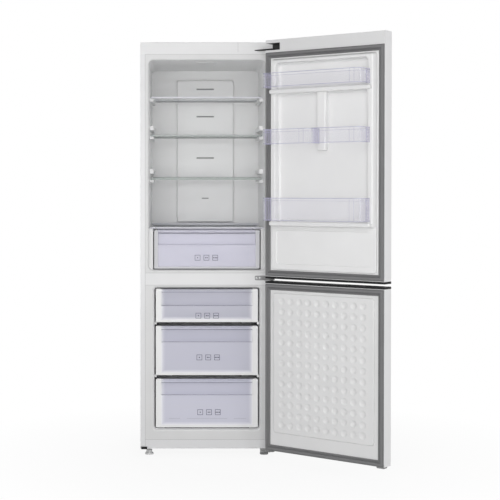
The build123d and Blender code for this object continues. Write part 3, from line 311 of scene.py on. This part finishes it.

# ================================================================ top front cap
# A moulded white cap closes the front of the case above the fridge. It hides the control board, and a split
# in it right of the middle marks the lid over the hinge. The split's line is a grey bar of painted shadow
# that runs up the front and back along the top.
cap_split, split_depth, split_start, split_foot, split_head = 138.0, 56.0, 2.0, 8.0, 3.0


def white_moulding(wire, spot):
    grain = noise(wire, spot, 900.0)
    flow = noise(wire, spot, 5.0)
    return {"Base Color": flow.blend(shade(214, 214, 215), shade(219, 219, 219)),
            "Roughness": 0.34 + grain * 0.1, "Normal": relief(wire, grain, 0.00002)}


white_plastic = finish("white_moulding", white_moulding)
dress(white_plastic, "top_front_cap")
split_shape = bmesh.new()
split_left, split_right = cap_split - line_half, cap_split + line_half
add_bar(split_shape, (split_left, -line_proud, cap_low.z + split_foot),
        (split_right, line_sunk, cap_high.z - split_head), line_bevel)
add_bar(split_shape, (split_left, split_start, cap_high.z - line_sunk),
        (split_right, split_depth, cap_high.z + line_proud), line_bevel)
mesh_piece("top_cap_split_shadow_line", split_shape, painted_shadow_line, "cabinet")


def circuit(wire, spot):
    tracks = wire.node("TexWave", {"bands_direction": "X"},
                       {"Vector": spot, "Scale": 160.0, "Distortion": 2.0}, "Fac")
    return {"Base Color": (tracks > 0.72).blend(shade(24, 92, 52), shade(120, 150, 90)), "Roughness": 0.45}


dress(finish("circuit_board", circuit), "control_board")

# ================================================================ back, base and machine compartment
# The back, the base and the walls round the compressor are plain galvanised sheet. The zinc shows its
# spangle, and the sheets are pressed and not painted. Screws with domed heads hold the back and its cover.


def galvanised(wire, spot):
    spangle = wire.node("TexVoronoi", {"feature": "F1"}, {"Vector": spot, "Scale": 95.0}, "Color").axis("X")
    haze = noise(wire, spot, 14.0)
    return {"Base Color": (spangle * 0.6 + haze * 0.4).blend(shade(150, 153, 156), shade(188, 190, 192)),
            "Metallic": 0.85, "Roughness": 0.32 + spangle * 0.2, "Normal": relief(wire, spangle, 0.00002)}


def pressed_panel(wire, spot):
    look = galvanised(wire, spot)
    wave = wire.node("TexWave", {"bands_direction": "X"}, {"Vector": spot, "Scale": 1.9}, "Fac")
    rib = wire.maths("MINIMUM", wire.maths("MAXIMUM", wave * 8.0 - 6.0, 0.0), 1.0)
    look["Normal"] = relief(wire, rib, 0.004, 0.9)
    return look


zinc_sheet = finish("galvanised_sheet", galvanised)
dress(zinc_sheet, "base_plate", "machine_bay_wall", "rear_cover")
dress(finish("pressed_rear_panel", pressed_panel), "rear_panel")


def zinc_plate(wire, spot):
    bloom = noise(wire, spot, 240.0)
    return {"Base Color": bloom.blend(shade(176, 178, 182), shade(206, 206, 204)), "Metallic": 1.0,
            "Roughness": 0.24 + bloom * 0.14}


def recess_shadow(wire, spot):
    grain = noise(wire, spot, 900.0)
    return {"Base Color": grain.blend(shade(44), shade(58)), "Roughness": 0.6}


zinc_screw = finish("zinc_plated_screw", zinc_plate)
recess_painted_shade = finish("cross_recess_painted_shadow", recess_shadow)
# A head's outline from near its crown to its rim, as shares of its radius and its rise.
head_profile = [(0.45, 0.93), (0.8, 0.62), (1.0, 0.18), (1.0, 0.0)]
head_sides = 20
cross_long, cross_wide = 0.5, 0.13


def screw_heads(name, spots, facing, radius, rise, body):
    """Domed heads with a cross recess drawn as dark bars of painted shadow, at points of the cabinet's
    frame, each facing along one direction.
    """
    heads, crosses = bmesh.new(), bmesh.new()
    turn = Vector((0, 0, 1)).rotation_difference(Vector(facing)).to_matrix().to_4x4()
    for spot in spots:
        stand = Matrix.Translation(spot) @ turn
        rings = []
        for out, up in head_profile:
            circle = [Vector((cos(side * 2 * pi / head_sides) * out * radius,
                              sin(side * 2 * pi / head_sides) * out * radius, up * rise))
                      for side in range(head_sides)]
            rings.append([heads.verts.new(stand @ point) for point in circle])
        heads.faces.new(rings[0])
        heads.faces.new(rings[-1])
        for ring, following in zip(rings, rings[1:]):
            for side in range(head_sides):
                after = (side + 1) % head_sides
                heads.faces.new((ring[side], ring[after], following[after], following[side]))
        # The cross is dark bars on the crown, painted shadow in place of a sunk recess.
        for long, wide in ((cross_long, cross_wide), (cross_wide, cross_long)):
            bar = bmesh.ops.create_cube(crosses, size=1.0)["verts"]
            for vert in bar:
                vert.co = stand @ Vector((vert.co.x * 2 * long * radius, vert.co.y * 2 * wide * radius,
                                          rise * (0.93 + vert.co.z * 0.16)))
    mesh_piece(name, heads, zinc_screw, body, smooth=True)
    mesh_piece(name + "_recess_painted_shadows", crosses, recess_painted_shade, body)


cover_low, cover_high = extent("rear_cover", cabinet)
panel_low, panel_high = extent("rear_panel", cabinet)
edge, end_edge = 9.0, 60.0
cover_columns, panel_rows = (-250, -85, 85, 250), (700, 1120, 1500)
rear_spots = [Vector((x, cover_high.y, z)) for z in (cover_low.z + edge, cover_high.z - edge)
              for x in cover_columns]
rear_spots += [Vector((x, panel_high.y, z)) for x in (panel_low.x + edge, panel_high.x - edge)
               for z in (cover_high.z + end_edge, *panel_rows, panel_high.z - end_edge)]
screw_heads("rear_screws", rear_spots, facing=(0, 1, 0), radius=4.2, rise=1.6, body="cabinet")


def black_moulding(wire, spot):
    grain = noise(wire, spot, 1400.0)
    return {"Base Color": grain.blend(shade(20, 20, 21), shade(30, 30, 31)),
            "Roughness": 0.62 + grain * 0.15, "Specular IOR Level": 0.25,
            "Normal": relief(wire, grain, 0.00004)}


black_plastic = finish("black_moulding", black_moulding)
dress(black_plastic, "cord_gland")

# ================================================================ insulation
# Polyurethane foam fills the cabinet and both doors. It is foamed in place between the sheets and bonds
# them, and it shows only where a piece is off.


def foam_cells(wire, spot):
    cells = wire.node("TexVoronoi", {}, {"Vector": spot, "Scale": 420.0}, "Distance")
    return {"Base Color": cells.blend(shade(232, 214, 158), shade(214, 190, 128)), "Roughness": 0.9,
            "Normal": relief(wire, cells, 0.0004)}


dress(finish("insulation_foam", foam_cells), "cabinet_foam", "fridge_door_foam", "freezer_door_foam")

# ================================================================ liners
# Each compartment and each door's inside is one white sheet of polystyrene, drawn over a mould by vacuum. It
# is smooth and slightly glossy, with faint waves where it thinned. Inside the compartments the sheet is a
# brighter copy than on the flange round the mouth, painted light that lifts the shaded cavity.


def drawn_sheet(thin, thick):
    def surface(wire, spot):
        wave = noise(wire, spot, 9.0, 1.0)
        grain = noise(wire, spot, 700.0)
        return {"Base Color": wave.blend(shade(thin), shade(thick)), "Roughness": 0.33 + grain * 0.08,
                "Normal": relief(wire, wave * 0.9 + grain * 0.1, 0.0003)}
    return surface


# A brighter copy of the sheet inside the compartments is painted light; the flange keeps a plainer white.
compartment_sheet_painted_light = finish("compartment_sheet_painted_light", drawn_sheet(242, 247))
flange_sheet = finish("liner_flange_sheet", drawn_sheet(204, 210))
dress(compartment_sheet_painted_light, "fridge_liner", "freezer_liner")
flange_depth = 0.0145
for name in ("fridge_liner", "freezer_liner"):
    mesh = nodes[name].data
    mesh.materials.append(flange_sheet)
    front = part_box(name)[0].y
    for polygon in mesh.polygons:
        if polygon.center.y < front + flange_depth and polygon.normal.y < -0.2:
            polygon.material_index = 1
# The fridge door's liner is a brighter copy of the door sheet, painted light against the shade of its bins
# and sills.
dress(finish("fridge_door_sheet_painted_light", drawn_sheet(226, 231)), "fridge_door_liner")
dress(finish("freezer_door_sheet", drawn_sheet(219, 225)), "freezer_door_liner")

# ================================================================ front trims
# The rail between the compartments and the plate at the foot close the front. A black cap covers the lower
# corner away from the hinges.
dress(white_plastic, "mullion_rail")
dress(white_enamel, "kick_plate")
dress(black_plastic, "corner_cap")

# ================================================================ refrigerant circuit
# A black compressor stands on four rubber feet in the bay behind the bottom drawer, with a drip tray on top.
# Copper tubes lead to the loops inside the case's sides and to the finned evaporator behind the freezer.


def gloss_black(wire, spot):
    peel = noise(wire, spot, 260.0)
    return {"Base Color": peel.blend(shade(16, 16, 17), shade(26, 26, 28)), "Roughness": 0.2 + peel * 0.1,
            "Coat Weight": 0.4, "Normal": relief(wire, peel, 0.00006)}


def soft_rubber(wire, spot):
    grain = noise(wire, spot, 800.0)
    return {"Base Color": grain.blend(shade(30), shade(42)), "Roughness": 0.75 + grain * 0.15,
            "Normal": relief(wire, grain, 0.00006)}


def drawn_copper(wire, spot):
    tarnish = noise(wire, spot, 60.0)
    return {"Base Color": tarnish.blend(shade(196, 118, 84), shade(150, 92, 66)), "Metallic": 1.0,
            "Roughness": 0.25 + tarnish * 0.2}


def rolled_aluminium(wire, spot):
    streak = wire.node("Mapping", {}, {"Vector": spot, "Scale": (900, 900, 12)})
    lines = noise(wire, streak, 1.0)
    return {"Base Color": lines.blend(shade(186, 188, 190), shade(210, 211, 212)), "Metallic": 1.0,
            "Roughness": 0.26 + lines * 0.16}


dress(finish("compressor_paint", gloss_black), "compressor")
dress(finish("mount_rubber", soft_rubber), "compressor_mounts")
dress(finish("copper_tube", drawn_copper), "refrigerant_pipes")
dress(finish("rolled_aluminium", rolled_aluminium), "evaporator")
dress(black_plastic, "drip_tray", "fan_motor")

# ================================================================ air covers and lamp
# Cold air rises behind a flat white cover on the fridge's back wall and comes out of four narrow slots. A
# larger cover with a fan grille hides the evaporator. The lamp sits in the ceiling under a ribbed diffuser.


def ribbed_diffuser(wire, spot):
    ribs = wire.node("TexWave", {"bands_direction": "X"}, {"Vector": spot, "Scale": 120.0}, "Fac")
    return {"Base Color": ribs.blend(shade(226), shade(234)), "Roughness": 0.35 + ribs * 0.05,
            "Normal": relief(wire, ribs, 0.0004)}


# The duct cover is a brighter copy of the sheet, painted light like the compartment's inside.
dress(finish("duct_cover_sheet_painted_light", drawn_sheet(240, 245)), "duct_cover")
dress(white_plastic, "evaporator_cover", "evaporator_fan")
dress(finish("lamp_diffuser", ribbed_diffuser), "lamp_cover")


def slot_shadow(wire, spot):
    grain = noise(wire, spot, 500.0)
    return {"Base Color": grain.blend(shade(150), shade(164)), "Roughness": 0.7}


slot_painted_shade = finish("slot_vane_painted_shade", slot_shadow)
duct_front = extent("duct_cover", cabinet)[0].y
# The height of each slot's middle, its width and its opening.
air_slots = [(1679.0, 85.0, 7.0), (1547.0, 85.0, 7.0), (1347.0, 85.0, 7.0), (1152.0, 34.0, 5.0)]
blade_pitch, blade_half = 12.0, 0.5
# A grey sheet behind each slot and grey blades across it paint the shade inside the opening.
back_front, back_rear = duct_front + 4, duct_front + 5
blade_front, blade_rear = duct_front + 0.8, duct_front + 4.2
vanes = bmesh.new()
for height, width, opening in air_slots:
    slot_foot, slot_head = height - opening / 2, height + opening / 2
    add_bar(vanes, (-width / 2, back_front, slot_foot), (width / 2, back_rear, slot_head), 0.2)
    blades = round(width / blade_pitch)
    for number in range(1, blades):
        x = -width / 2 + number * width / blades
        add_bar(vanes, (x - blade_half, blade_front, slot_foot),
                (x + blade_half, blade_rear, slot_head), 0.15)
mesh_piece("air_slot_vanes", vanes, slot_painted_shade, "cabinet")

# ================================================================ hinges
# The top arm is black sheet steel that reaches into a pocket of the fridge door. The middle and bottom
# brackets are painted grey, and every bracket is held by two zinc-plated cross-head screws.


def hinge_paint(dark, light):
    def surface(wire, spot):
        speck = noise(wire, spot, 600.0)
        return {"Base Color": speck.blend(shade(dark), shade(light)), "Roughness": 0.5 + speck * 0.12,
                "Specular IOR Level": 0.3, "Normal": relief(wire, speck, 0.00004)}
    return surface


dress(finish("hinge_black_paint", hinge_paint(24, 34)), "top_hinge")
hinge_grey = finish("hinge_grey_paint", hinge_paint(138, 152))
dress(hinge_grey, "middle_hinge", "bottom_hinge")
dress(zinc_screw, "hinge_screws")
screw_line, screw_face = 800.0, -5.2
middle_spots = [Vector((x, screw_face, screw_line)) for x in (222.0, 236.0)]
screw_heads("middle_hinge_screw_heads", middle_spots, facing=(0, -1, 0), radius=5.0, rise=1.2,
            body="cabinet")

# ================================================================ glass shelves
# Three shelves of toughened glass lie on ledges of the liner, and a fourth covers the crisper. Each has a
# moulded trim along its front and a raised one along its rear.


def float_glass(wire, spot):
    smear = noise(wire, spot, 6.0)
    edge = wire.node("LayerWeight", {}, {"Blend": 0.4}, "Facing")
    return {"Base Color": smear.blend(shade(196, 206, 204), shade(204, 212, 210)),
            "Roughness": 0.03 + smear * 0.03, "Alpha": edge * edge * 0.35 + 0.07, "IOR": 1.5}


def trim_moulding(wire, spot):
    flow = noise(wire, spot, 30.0)
    return {"Base Color": flow.blend(shade(206, 206, 214), shade(216, 216, 222)),
            "Roughness": 0.25 + flow * 0.1}


def glass_edge(wire, spot):
    flow = noise(wire, spot, 40.0)
    return {"Base Color": flow.blend(shade(150, 158, 155), shade(178, 184, 181)),
            "Roughness": 0.18 + flow * 0.1}


glass = finish("float_glass", float_glass)
shelf_trim = finish("shelf_trim", trim_moulding)
green_trim = finish("glass_edge_trim", glass_edge)
shelf_trims = {"shelf_top": shelf_trim, "shelf_middle": green_trim, "shelf_bottom": green_trim,
               "crisper_cover": shelf_trim}
trim_depth = 0.0125
for name, trim in shelf_trims.items():
    dress(glass, name)
    mesh = nodes[name].data
    mesh.materials.append(trim)
    low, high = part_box(name)
    for polygon in mesh.polygons:
        if min(polygon.center.y - low.y, high.y - polygon.center.y) < trim_depth:
            polygon.material_index = 1

# ================================================================ crisper and freezer drawers
# The crisper is a clear box in a light grey frame, whose grey is painted shade, and each freezer drawer is a
# white basket behind a clear front, all with a slight lilac tint. Three plain square marks are printed in
# grey between a front's grip line and its foot.


def tub_moulding(wire, spot):
    flow = noise(wire, spot, 8.0)
    rim = wire.node("LayerWeight", {}, {"Blend": 0.35}, "Facing")
    return {"Base Color": flow.blend(shade(222, 221, 236), shade(228, 227, 241)),
            "Roughness": 0.08 + flow * 0.08,
            "Alpha": wire.maths("MINIMUM", rim * rim * 0.45 + 0.44, 1.0), "IOR": 1.5}


clear_tub = finish("clear_lilac_tub", tub_moulding)


def edge_fade(wire, distance, width):
    """1 at an edge, falling to 0 over this width, where distance is measured into the piece."""
    return wire.maths("MINIMUM", wire.maths("MAXIMUM", 1.0 - distance * (1 / width), 0.0), 1.0)


def drawer_face(node, grip, painted_light_tone):
    """Clear front: streaked as it was moulded, frosted at its sides and foot, darker above the grip line,
    and lightened or darkened per drawer by a tone that is painted light.
    """
    low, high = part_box(node)

    def surface(wire, spot):
        from_middle = wire.maths("ABSOLUTE", spot.axis("X") - (low.x + high.x) / 2)
        side = edge_fade(wire, (high.x - low.x) / 2 - from_middle, 0.022)
        foot = edge_fade(wire, spot.axis("Z") - low.z, 0.016)
        frosted = wire.maths("MAXIMUM", side * side, foot)
        drawn_out = wire.node("Mapping", {}, {"Vector": spot, "Scale": (2.0, 2.0, 150.0)})
        streak = noise(wire, drawn_out, 1.0, 3.0)
        band = spot.axis("Z") > grip
        clear = (streak * 0.7 + band * 0.3).blend(shade(222 + painted_light_tone, 222 + painted_light_tone, 234 + painted_light_tone),
                                                  shade(196 + painted_light_tone, 196 + painted_light_tone, 213 + painted_light_tone))
        return {"Base Color": frosted.blend(clear, shade(226, 226, 228)), "Roughness": 0.12 + frosted * 0.25,
                "Alpha": wire.maths("MINIMUM", frosted * 0.4 + streak * 0.12 + 0.62, 1.0), "IOR": 1.5}
    return surface


def shaded_frame_moulding(wire, spot):
    flow = noise(wire, spot, 10.0)
    return {"Base Color": flow.blend(shade(188, 188, 192), shade(196, 196, 199)),
            "Roughness": 0.4 + flow * 0.1}


def printed_grey(wire, spot):
    grain = noise(wire, spot, 900.0)
    return {"Base Color": grain.blend(shade(66, 66, 82), shade(86, 86, 102)), "Roughness": 0.5}


def painted_shadow_edge(dark, light):
    def surface(wire, spot):
        flow = noise(wire, spot, 30.0)
        return {"Base Color": flow.blend(shade(dark, dark, dark + 14), shade(light, light, light + 14)),
                "Roughness": 0.3}
    return surface


def painted_gap_shade(wire, spot):
    flow = noise(wire, spot, 25.0)
    return {"Base Color": flow.blend(shade(34), shade(52)), "Roughness": 0.8}


mark_ink = finish("printed_mark_grey", printed_grey)
# Both edge colours are painted shadow lines on the clear fronts.
grip_shadow = finish("grip_edge_painted_shadow", painted_shadow_edge(132, 150))
lip_shadow = finish("lip_edge_painted_shadow", painted_shadow_edge(78, 92))
gap_shade = finish("gap_painted_shade", painted_gap_shade)
mark_size, mark_line, mark_pitch = 25.0, 2.1, 39.5
dot_radius, dot_pitch, ink_rise, ink_root = 2.8, 7.0, 0.12, 0.05


def plain_marks(shape, middle, face, height):
    """Three outlined squares with one, two and three dots."""
    upright = Matrix.Rotation(radians(90), 4, "X")
    for number in range(3):
        x = middle + (number - 1) * mark_pitch
        x0, x1, z0, z1 = x - mark_size / 2, x + mark_size / 2, height - mark_size / 2, height + mark_size / 2
        for lo, hi in (((x0, z0), (x1, z0 + mark_line)), ((x0, z1 - mark_line), (x1, z1)),
                       ((x0, z0), (x0 + mark_line, z1)), ((x1 - mark_line, z0), (x1, z1))):
            add_bar(shape, (lo[0], face - ink_rise, lo[1]), (hi[0], face + ink_root, hi[1]))
        for dot in range(number + 1):
            spot = Matrix.Translation((x + (dot - number / 2) * dot_pitch, face - 0.04, height))
            bmesh.ops.create_cone(shape, cap_ends=True, segments=16, radius1=dot_radius, radius2=dot_radius,
                                  depth=0.16, matrix=spot @ upright)


grip_band, edge_rise = 1.6, 0.3


def drawer_trim(drawer, front_node, reach, grip, lip, lip_band, mark_height, mark_middle):
    """What stands on a drawer's clear front: painted shadow lines at the grip's edge and under the lip, and
    the plain marks.
    """
    face = extent(front_node, cabinet)[0].y
    grip_shape = bmesh.new()
    add_bar(grip_shape, (-reach, face - edge_rise, grip - grip_band), (reach, face + 1, grip), 0.2)
    mesh_piece(drawer + "_grip_shadow_line", grip_shape, grip_shadow, drawer)
    lip_shape = bmesh.new()
    add_bar(lip_shape, (-reach, face - edge_rise, lip), (reach, face + 1, lip + lip_band), 0.2)
    mesh_piece(drawer + "_lip_shadow_line", lip_shape, lip_shadow, drawer)
    marks = bmesh.new()
    plain_marks(marks, mark_middle, face, mark_height)
    mesh_piece(drawer + "_marks", marks, mark_ink, drawer)


# The crisper frame's light grey is painted shade.
dress(finish("crisper_frame_painted_shade", shaded_frame_moulding), "crisper_frame")
dress(clear_tub, "crisper_box")
frame_low, frame_high = extent("crisper_frame", cabinet)
# A dark strip round the sides and foot of the crisper's frame is painted shade in the gap to the liner.
outline_clearance, outline_reach, outline_front, outline_rear, outline_bevel = 0.2, 3.6, frame_low.y + 1, frame_low.y + 4, 0.4
outline_foot = frame_low.z - 3.8
crisper_outline_shade = bmesh.new()
for side in (-1, 1):
    x0, x1 = sorted((side * (frame_high.x + outline_clearance), side * (frame_high.x + outline_reach)))
    add_bar(crisper_outline_shade, (x0, outline_front, outline_foot + 0.1), (x1, outline_rear, frame_high.z - 4), outline_bevel)
add_bar(crisper_outline_shade, (frame_low.x - outline_reach, outline_front, outline_foot),
        (frame_high.x + outline_reach, outline_rear, frame_low.z - outline_clearance), outline_bevel)
mesh_piece("crisper_outline_painted_shade", crisper_outline_shade, gap_shade, "crisper")
crisper_top = extent("crisper_box", cabinet)[1].z
drawer_trim("crisper", "crisper_box", reach=218.0, grip=949.0, lip=crisper_top - 14.5, lip_band=4.5,
            mark_height=889.0, mark_middle=-2.1)

drawer_white = finish("drawer_white_moulding", drawn_sheet(224, 229))
shade_strip_drop = 9.3
# Each drawer's grip line, the height and middle of its marks, its tone of painted light, and half the width
# and the depth of the dark strip of painted shade under its front.
drawers = {"freezer_drawer_top": (674.0, 628.8, 1.6, -12, 156.0, 5.0),
           "freezer_drawer_middle": (511.0, 441.3, 6.1, 3, 156.0, 5.0),
           "freezer_drawer_bottom": (273.0, 194.6, 9.8, 11, 190.0, 3.2)}
for drawer, (grip, mark_height, mark_middle, painted_light_tone, strip_half, strip_depth) in drawers.items():
    front_node = drawer + "_front"
    dress(drawer_white, drawer + "_basket")
    dress(finish(front_node + "_plastic", drawer_face(front_node, grip / 1000, painted_light_tone)), front_node)
    drawer_low, drawer_high = extent(front_node, cabinet)
    drawer_trim(drawer, front_node, reach=drawer_high.x - 1, grip=grip, lip=drawer_high.z - 14.3,
                lip_band=1.4, mark_height=mark_height, mark_middle=mark_middle)
    # A dark strip under each drawer's front is painted shade in the gap below it.
    strip = bmesh.new()
    strip_top = drawer_low.z - shade_strip_drop
    add_bar(strip, (-strip_half, drawer_low.y + 3, strip_top - strip_depth),
            (strip_half, drawer_low.y + 9, strip_top), 0.4)
    mesh_piece(drawer + "_gap_painted_shade", strip, gap_shade, drawer)

# A step in the bottom drawer's basket shows through its front as a broken line of painted shadow.
step_height, step_half = 166.7, 0.6
step_face = extent("freezer_drawer_bottom_front", cabinet)[0].y
step_dashes = ((-170.0, -120.0), (-90.0, 92.0), (121.0, 177.0))
step_shape = bmesh.new()
for x0, x1 in step_dashes:
    add_bar(step_shape, (x0, step_face - 0.2, step_height - step_half),
            (x1, step_face + 1, step_height + step_half), 0.1)
mesh_piece("freezer_drawer_bottom_step_shadow_line", step_shape, grip_shadow, "freezer_drawer_bottom")

# ================================================================ doors
# A door is a steel pan with its sides bent back, a moulded cap at each end, foam inside and a drawn liner.
# The caps that meet between the two doors are black, and the one on top has a pocket for the hinge.
closed = doors.inverted()
# The door skins' sides and edges take a brighter copy of the enamel, painted light; the faces toward the
# front keep the case's enamel.
dress(finish("door_side_enamel_painted_light", enamel(228, 233)), "fridge_door_skin", "freezer_door_skin")
for name in ("fridge_door_skin", "freezer_door_skin"):
    mesh = nodes[name].data
    mesh.materials.append(white_enamel)
    for polygon in mesh.polygons:
        if (closed.to_3x3() @ polygon.normal).normalized().y < -0.5:
            polygon.material_index = 1
dress(white_plastic, "fridge_door_top_cap")
dress(black_plastic, "fridge_door_bottom_cap", "freezer_door_top_cap")
dress(hinge_grey, "freezer_door_bottom_cap")

# Inside the hinge pocket the white cap is painted dark grey, painted shade in the hollow.
top_cap = nodes["fridge_door_top_cap"].data
top_cap.materials.append(finish("hinge_pocket_painted_shade", hinge_paint(50, 60)))
pocket_left, pocket_right, pocket_low, pocket_high, pocket_mouth = 222.0, 296.0, 1804.5, 1836.5, -10.5
for polygon in top_cap.polygons:
    spot = closed @ polygon.center
    if pocket_left < spot.x < pocket_right and pocket_low < spot.z < pocket_high and spot.y < pocket_mouth:
        polygon.material_index = 1

# ================================================================ door seals
# A grey PVC seal with a magnet in its bead clips round each door's liner. It is one extrusion, cut and
# welded at 45 degrees in the corners, with a bellows between its foot and its bead.
seal_profile = [(0, 0), (0, 2.2), (1.2, 3.4), (3.4, 3.4), (4.4, 5.4), (4.0, 8.4), (5.2, 9.5), (12.8, 9.5),
                (14.2, 8.4), (14.0, 6.0), (15.2, 4.8), (16.6, 6.2), (18.0, 4.8), (19.4, 6.2), (20.8, 4.8),
                (22.4, 5.8), (24.6, 4.6), (26, 2.4), (26, 0)]


def seal_rubber(wire, spot):
    grain = noise(wire, spot, 500.0)
    dust = noise(wire, spot, 12.0)
    return {"Base Color": (grain * 0.4 + dust * 0.6).blend(shade(106, 106, 107), shade(120, 120, 121)),
            "Roughness": 0.5 + grain * 0.15, "Normal": relief(wire, grain, 0.00005)}


seal_grey = finish("seal_rubber", seal_rubber)


def seal(node, body):
    """The profile carried round the edge of a door, in place of the CAD's plain band."""
    low, high = extent(node, doors)
    shape = bmesh.new()
    rings = []
    for inward, rise in seal_profile:
        x0, x1, z0, z1 = low.x + inward, high.x - inward, low.z + inward, high.z - inward
        corners = ((x0, z0), (x1, z0), (x1, z1), (x0, z1))
        rings.append([shape.verts.new((x, low.y + rise, z)) for x, z in corners])
    for ring, following in zip(rings, rings[1:] + rings[:1]):
        for corner in range(4):
            step = (corner + 1) % 4
            shape.faces.new((ring[corner], ring[step], following[step], following[corner]))
    piece = mesh_piece(node.replace("gasket", "seal"), shape, seal_grey, body, doors)
    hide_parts(node)


seal("fridge_door_gasket", "fridge_door")
seal("freezer_door_gasket", "freezer_door")

# ================================================================ door bins
# Four clear bins hang on lugs of the fridge door's liner: a whole one at the top and at the bottom, and two
# half bins side by side in between. They are moulded with a bead round the rim and upright lines.


def bin_moulding(wire, spot):
    flow = noise(wire, spot, 8.0)
    rim = wire.node("LayerWeight", {}, {"Blend": 0.25}, "Facing")
    return {"Base Color": flow.blend(shade(224, 220, 250), shade(230, 227, 252)),
            "Roughness": 0.05 + flow * 0.05,
            "Alpha": wire.maths("MINIMUM", rim * rim * rim * 0.12 + 0.025, 1.0), "IOR": 1.5}


def bin_end(wire, spot):
    flow = noise(wire, spot, 12.0)
    lines = wire.node("TexWave", {"bands_direction": "DIAGONAL"}, {"Vector": spot, "Scale": 45.0}, "Fac")
    return {"Base Color": (flow * 0.4 + lines * 0.6).blend(shade(220, 218, 236), shade(234, 232, 246)),
            "Roughness": 0.12 + flow * 0.1, "Alpha": 0.3}


def bin_side(wire, spot):
    flow = noise(wire, spot, 12.0)
    return {"Base Color": flow.blend(shade(206, 203, 226), shade(216, 214, 234)),
            "Roughness": 0.1 + flow * 0.1, "Alpha": flow * 0.06 + 0.18}


def bin_edge(wire, spot):
    flow = noise(wire, spot, 30.0)
    return {"Base Color": flow.blend(shade(176, 174, 202), shade(196, 194, 218)),
            "Roughness": 0.15 + flow * 0.1, "Alpha": flow * 0.2 + 0.6}


clear_bin = finish("clear_lilac_bin", bin_moulding)
bin_end_wall = finish("clear_lilac_bin_end", bin_end)
bin_side_wall = finish("clear_lilac_bin_side", bin_side)
bin_rim = finish("clear_lilac_bin_edge", bin_edge)
bin_corner, corner_steps, bin_rear = 24.0, 6, 24.0
end_depth, side_depth, strip_low, strip_high = 30.0, 4.0, 19.0, 21.0
line_root, line_rise, line_width, front_rise, front_width = 0.2, 0.5, 1.4, 0.4, 0.9
# Each bead's lowest and highest point, from a bin's rim or from its floor, and how far it stands proud.
rim_beads = ((-2.4, 0.0, 0.9), (-12.5, -11.5, 0.4))
floor_bead = (0.0, 2.0, 0.5)


def bead(shape, outline, low, high, proud, root=0.4):
    """A bead of square section that follows an outline, given as points and their outward directions."""
    rings = []
    for point, outward in outline:
        outer = point + outward * proud
        inner = point - outward * root
        section = ((inner, low), (outer, low), (outer, high), (inner, high))
        rings.append([shape.verts.new((place.x, place.y, z)) for place, z in section])
    for ring, following in zip(rings, rings[1:]):
        for corner in range(4):
            step = (corner + 1) % 4
            shape.faces.new((ring[corner], ring[step], following[step], following[corner]))
    shape.faces.new(rings[0])
    shape.faces.new(rings[-1])


def bin_outline(low, high):
    """Round a bin's front part, from the door at one side to the door at the other."""
    rear = low.y + bin_rear
    points = [(Vector((low.x, rear)), Vector((-1, 0)))]
    for middle_x, start in ((low.x + bin_corner, pi), (high.x - bin_corner, pi / 2)):
        for step in range(corner_steps + 1):
            angle = start - step / corner_steps * pi / 2
            way = Vector((cos(angle), sin(angle)))
            points.append((Vector((middle_x, high.y - bin_corner)) + way * bin_corner, way))
    points.append((Vector((high.x, rear)), Vector((1, 0))))
    return points


for name in ("door_bin_top", "door_bin_bottom", "door_bin_middle_hinge", "door_bin_middle_free"):
    dress(clear_bin, name)
    bin_low, bin_high = extent(name, doors)
    mesh = nodes[name].data
    mesh.materials.append(bin_end_wall)
    mesh.materials.append(bin_side_wall)
    for polygon in mesh.polygons:
        facing = (closed.to_3x3() @ polygon.normal).normalized()
        spot = closed @ polygon.center
        free_end = spot.x < bin_low.x + end_depth
        end_wall = facing.x > 0.85 and free_end and not name.endswith("hinge")
        rear_strip = facing.y > 0.9 and strip_low < spot.y < strip_high and free_end
        if end_wall or rear_strip:
            polygon.material_index = 1
        elif facing.x > 0.85 and spot.x > bin_high.x - side_depth:
            polygon.material_index = 2
    outline = bin_outline(bin_low, bin_high)
    edges = bmesh.new()
    for start, end, proud in rim_beads:
        bead(edges, outline, bin_high.z + start, bin_high.z + end, proud)
    bead(edges, outline, bin_low.z + floor_bead[0], bin_low.z + floor_bead[1], floor_bead[2])
    # Upright lines on the bin's front, on its hinge side and on its free side.
    line_foot, line_head = bin_low.z + 1, bin_high.z - 1
    for x in (bin_low.x + 26, bin_low.x + 48, bin_high.x - 27):
        add_bar(edges, (x, bin_high.y - line_root, line_foot),
                (x + front_width, bin_high.y + front_rise, line_head))
    for y in (bin_high.y - 34, bin_low.y + 30, bin_low.y + 44):
        add_bar(edges, (bin_high.x - line_root, y, line_foot),
                (bin_high.x + line_rise, y + line_width, line_head))
    for y in (bin_high.y - 55, bin_low.y + 26):
        add_bar(edges, (bin_low.x - line_rise, y, line_foot),
                (bin_low.x + line_root, y + line_width, line_head))
    mesh_piece(name + "_edges", edges, bin_rim, name, doors)

# ================================================================ feet and rollers
# The front stands on two nylon levelling feet that screw into the base, and the rear on two black rollers.
# The foot under the hinge takes the hinges' grey as painted shade; the other is pale.


def pale_nylon(wire, spot):
    grain = noise(wire, spot, 700.0)
    return {"Base Color": grain.blend(shade(206), shade(218)), "Roughness": 0.4 + grain * 0.1}


dress(finish("foot_nylon", pale_nylon), "levelling_foot_left")
# The right foot's grey is painted shade under the hinge.
dress(hinge_grey, "levelling_foot_right")
dress(black_plastic, "rear_roller_left", "rear_roller_right")
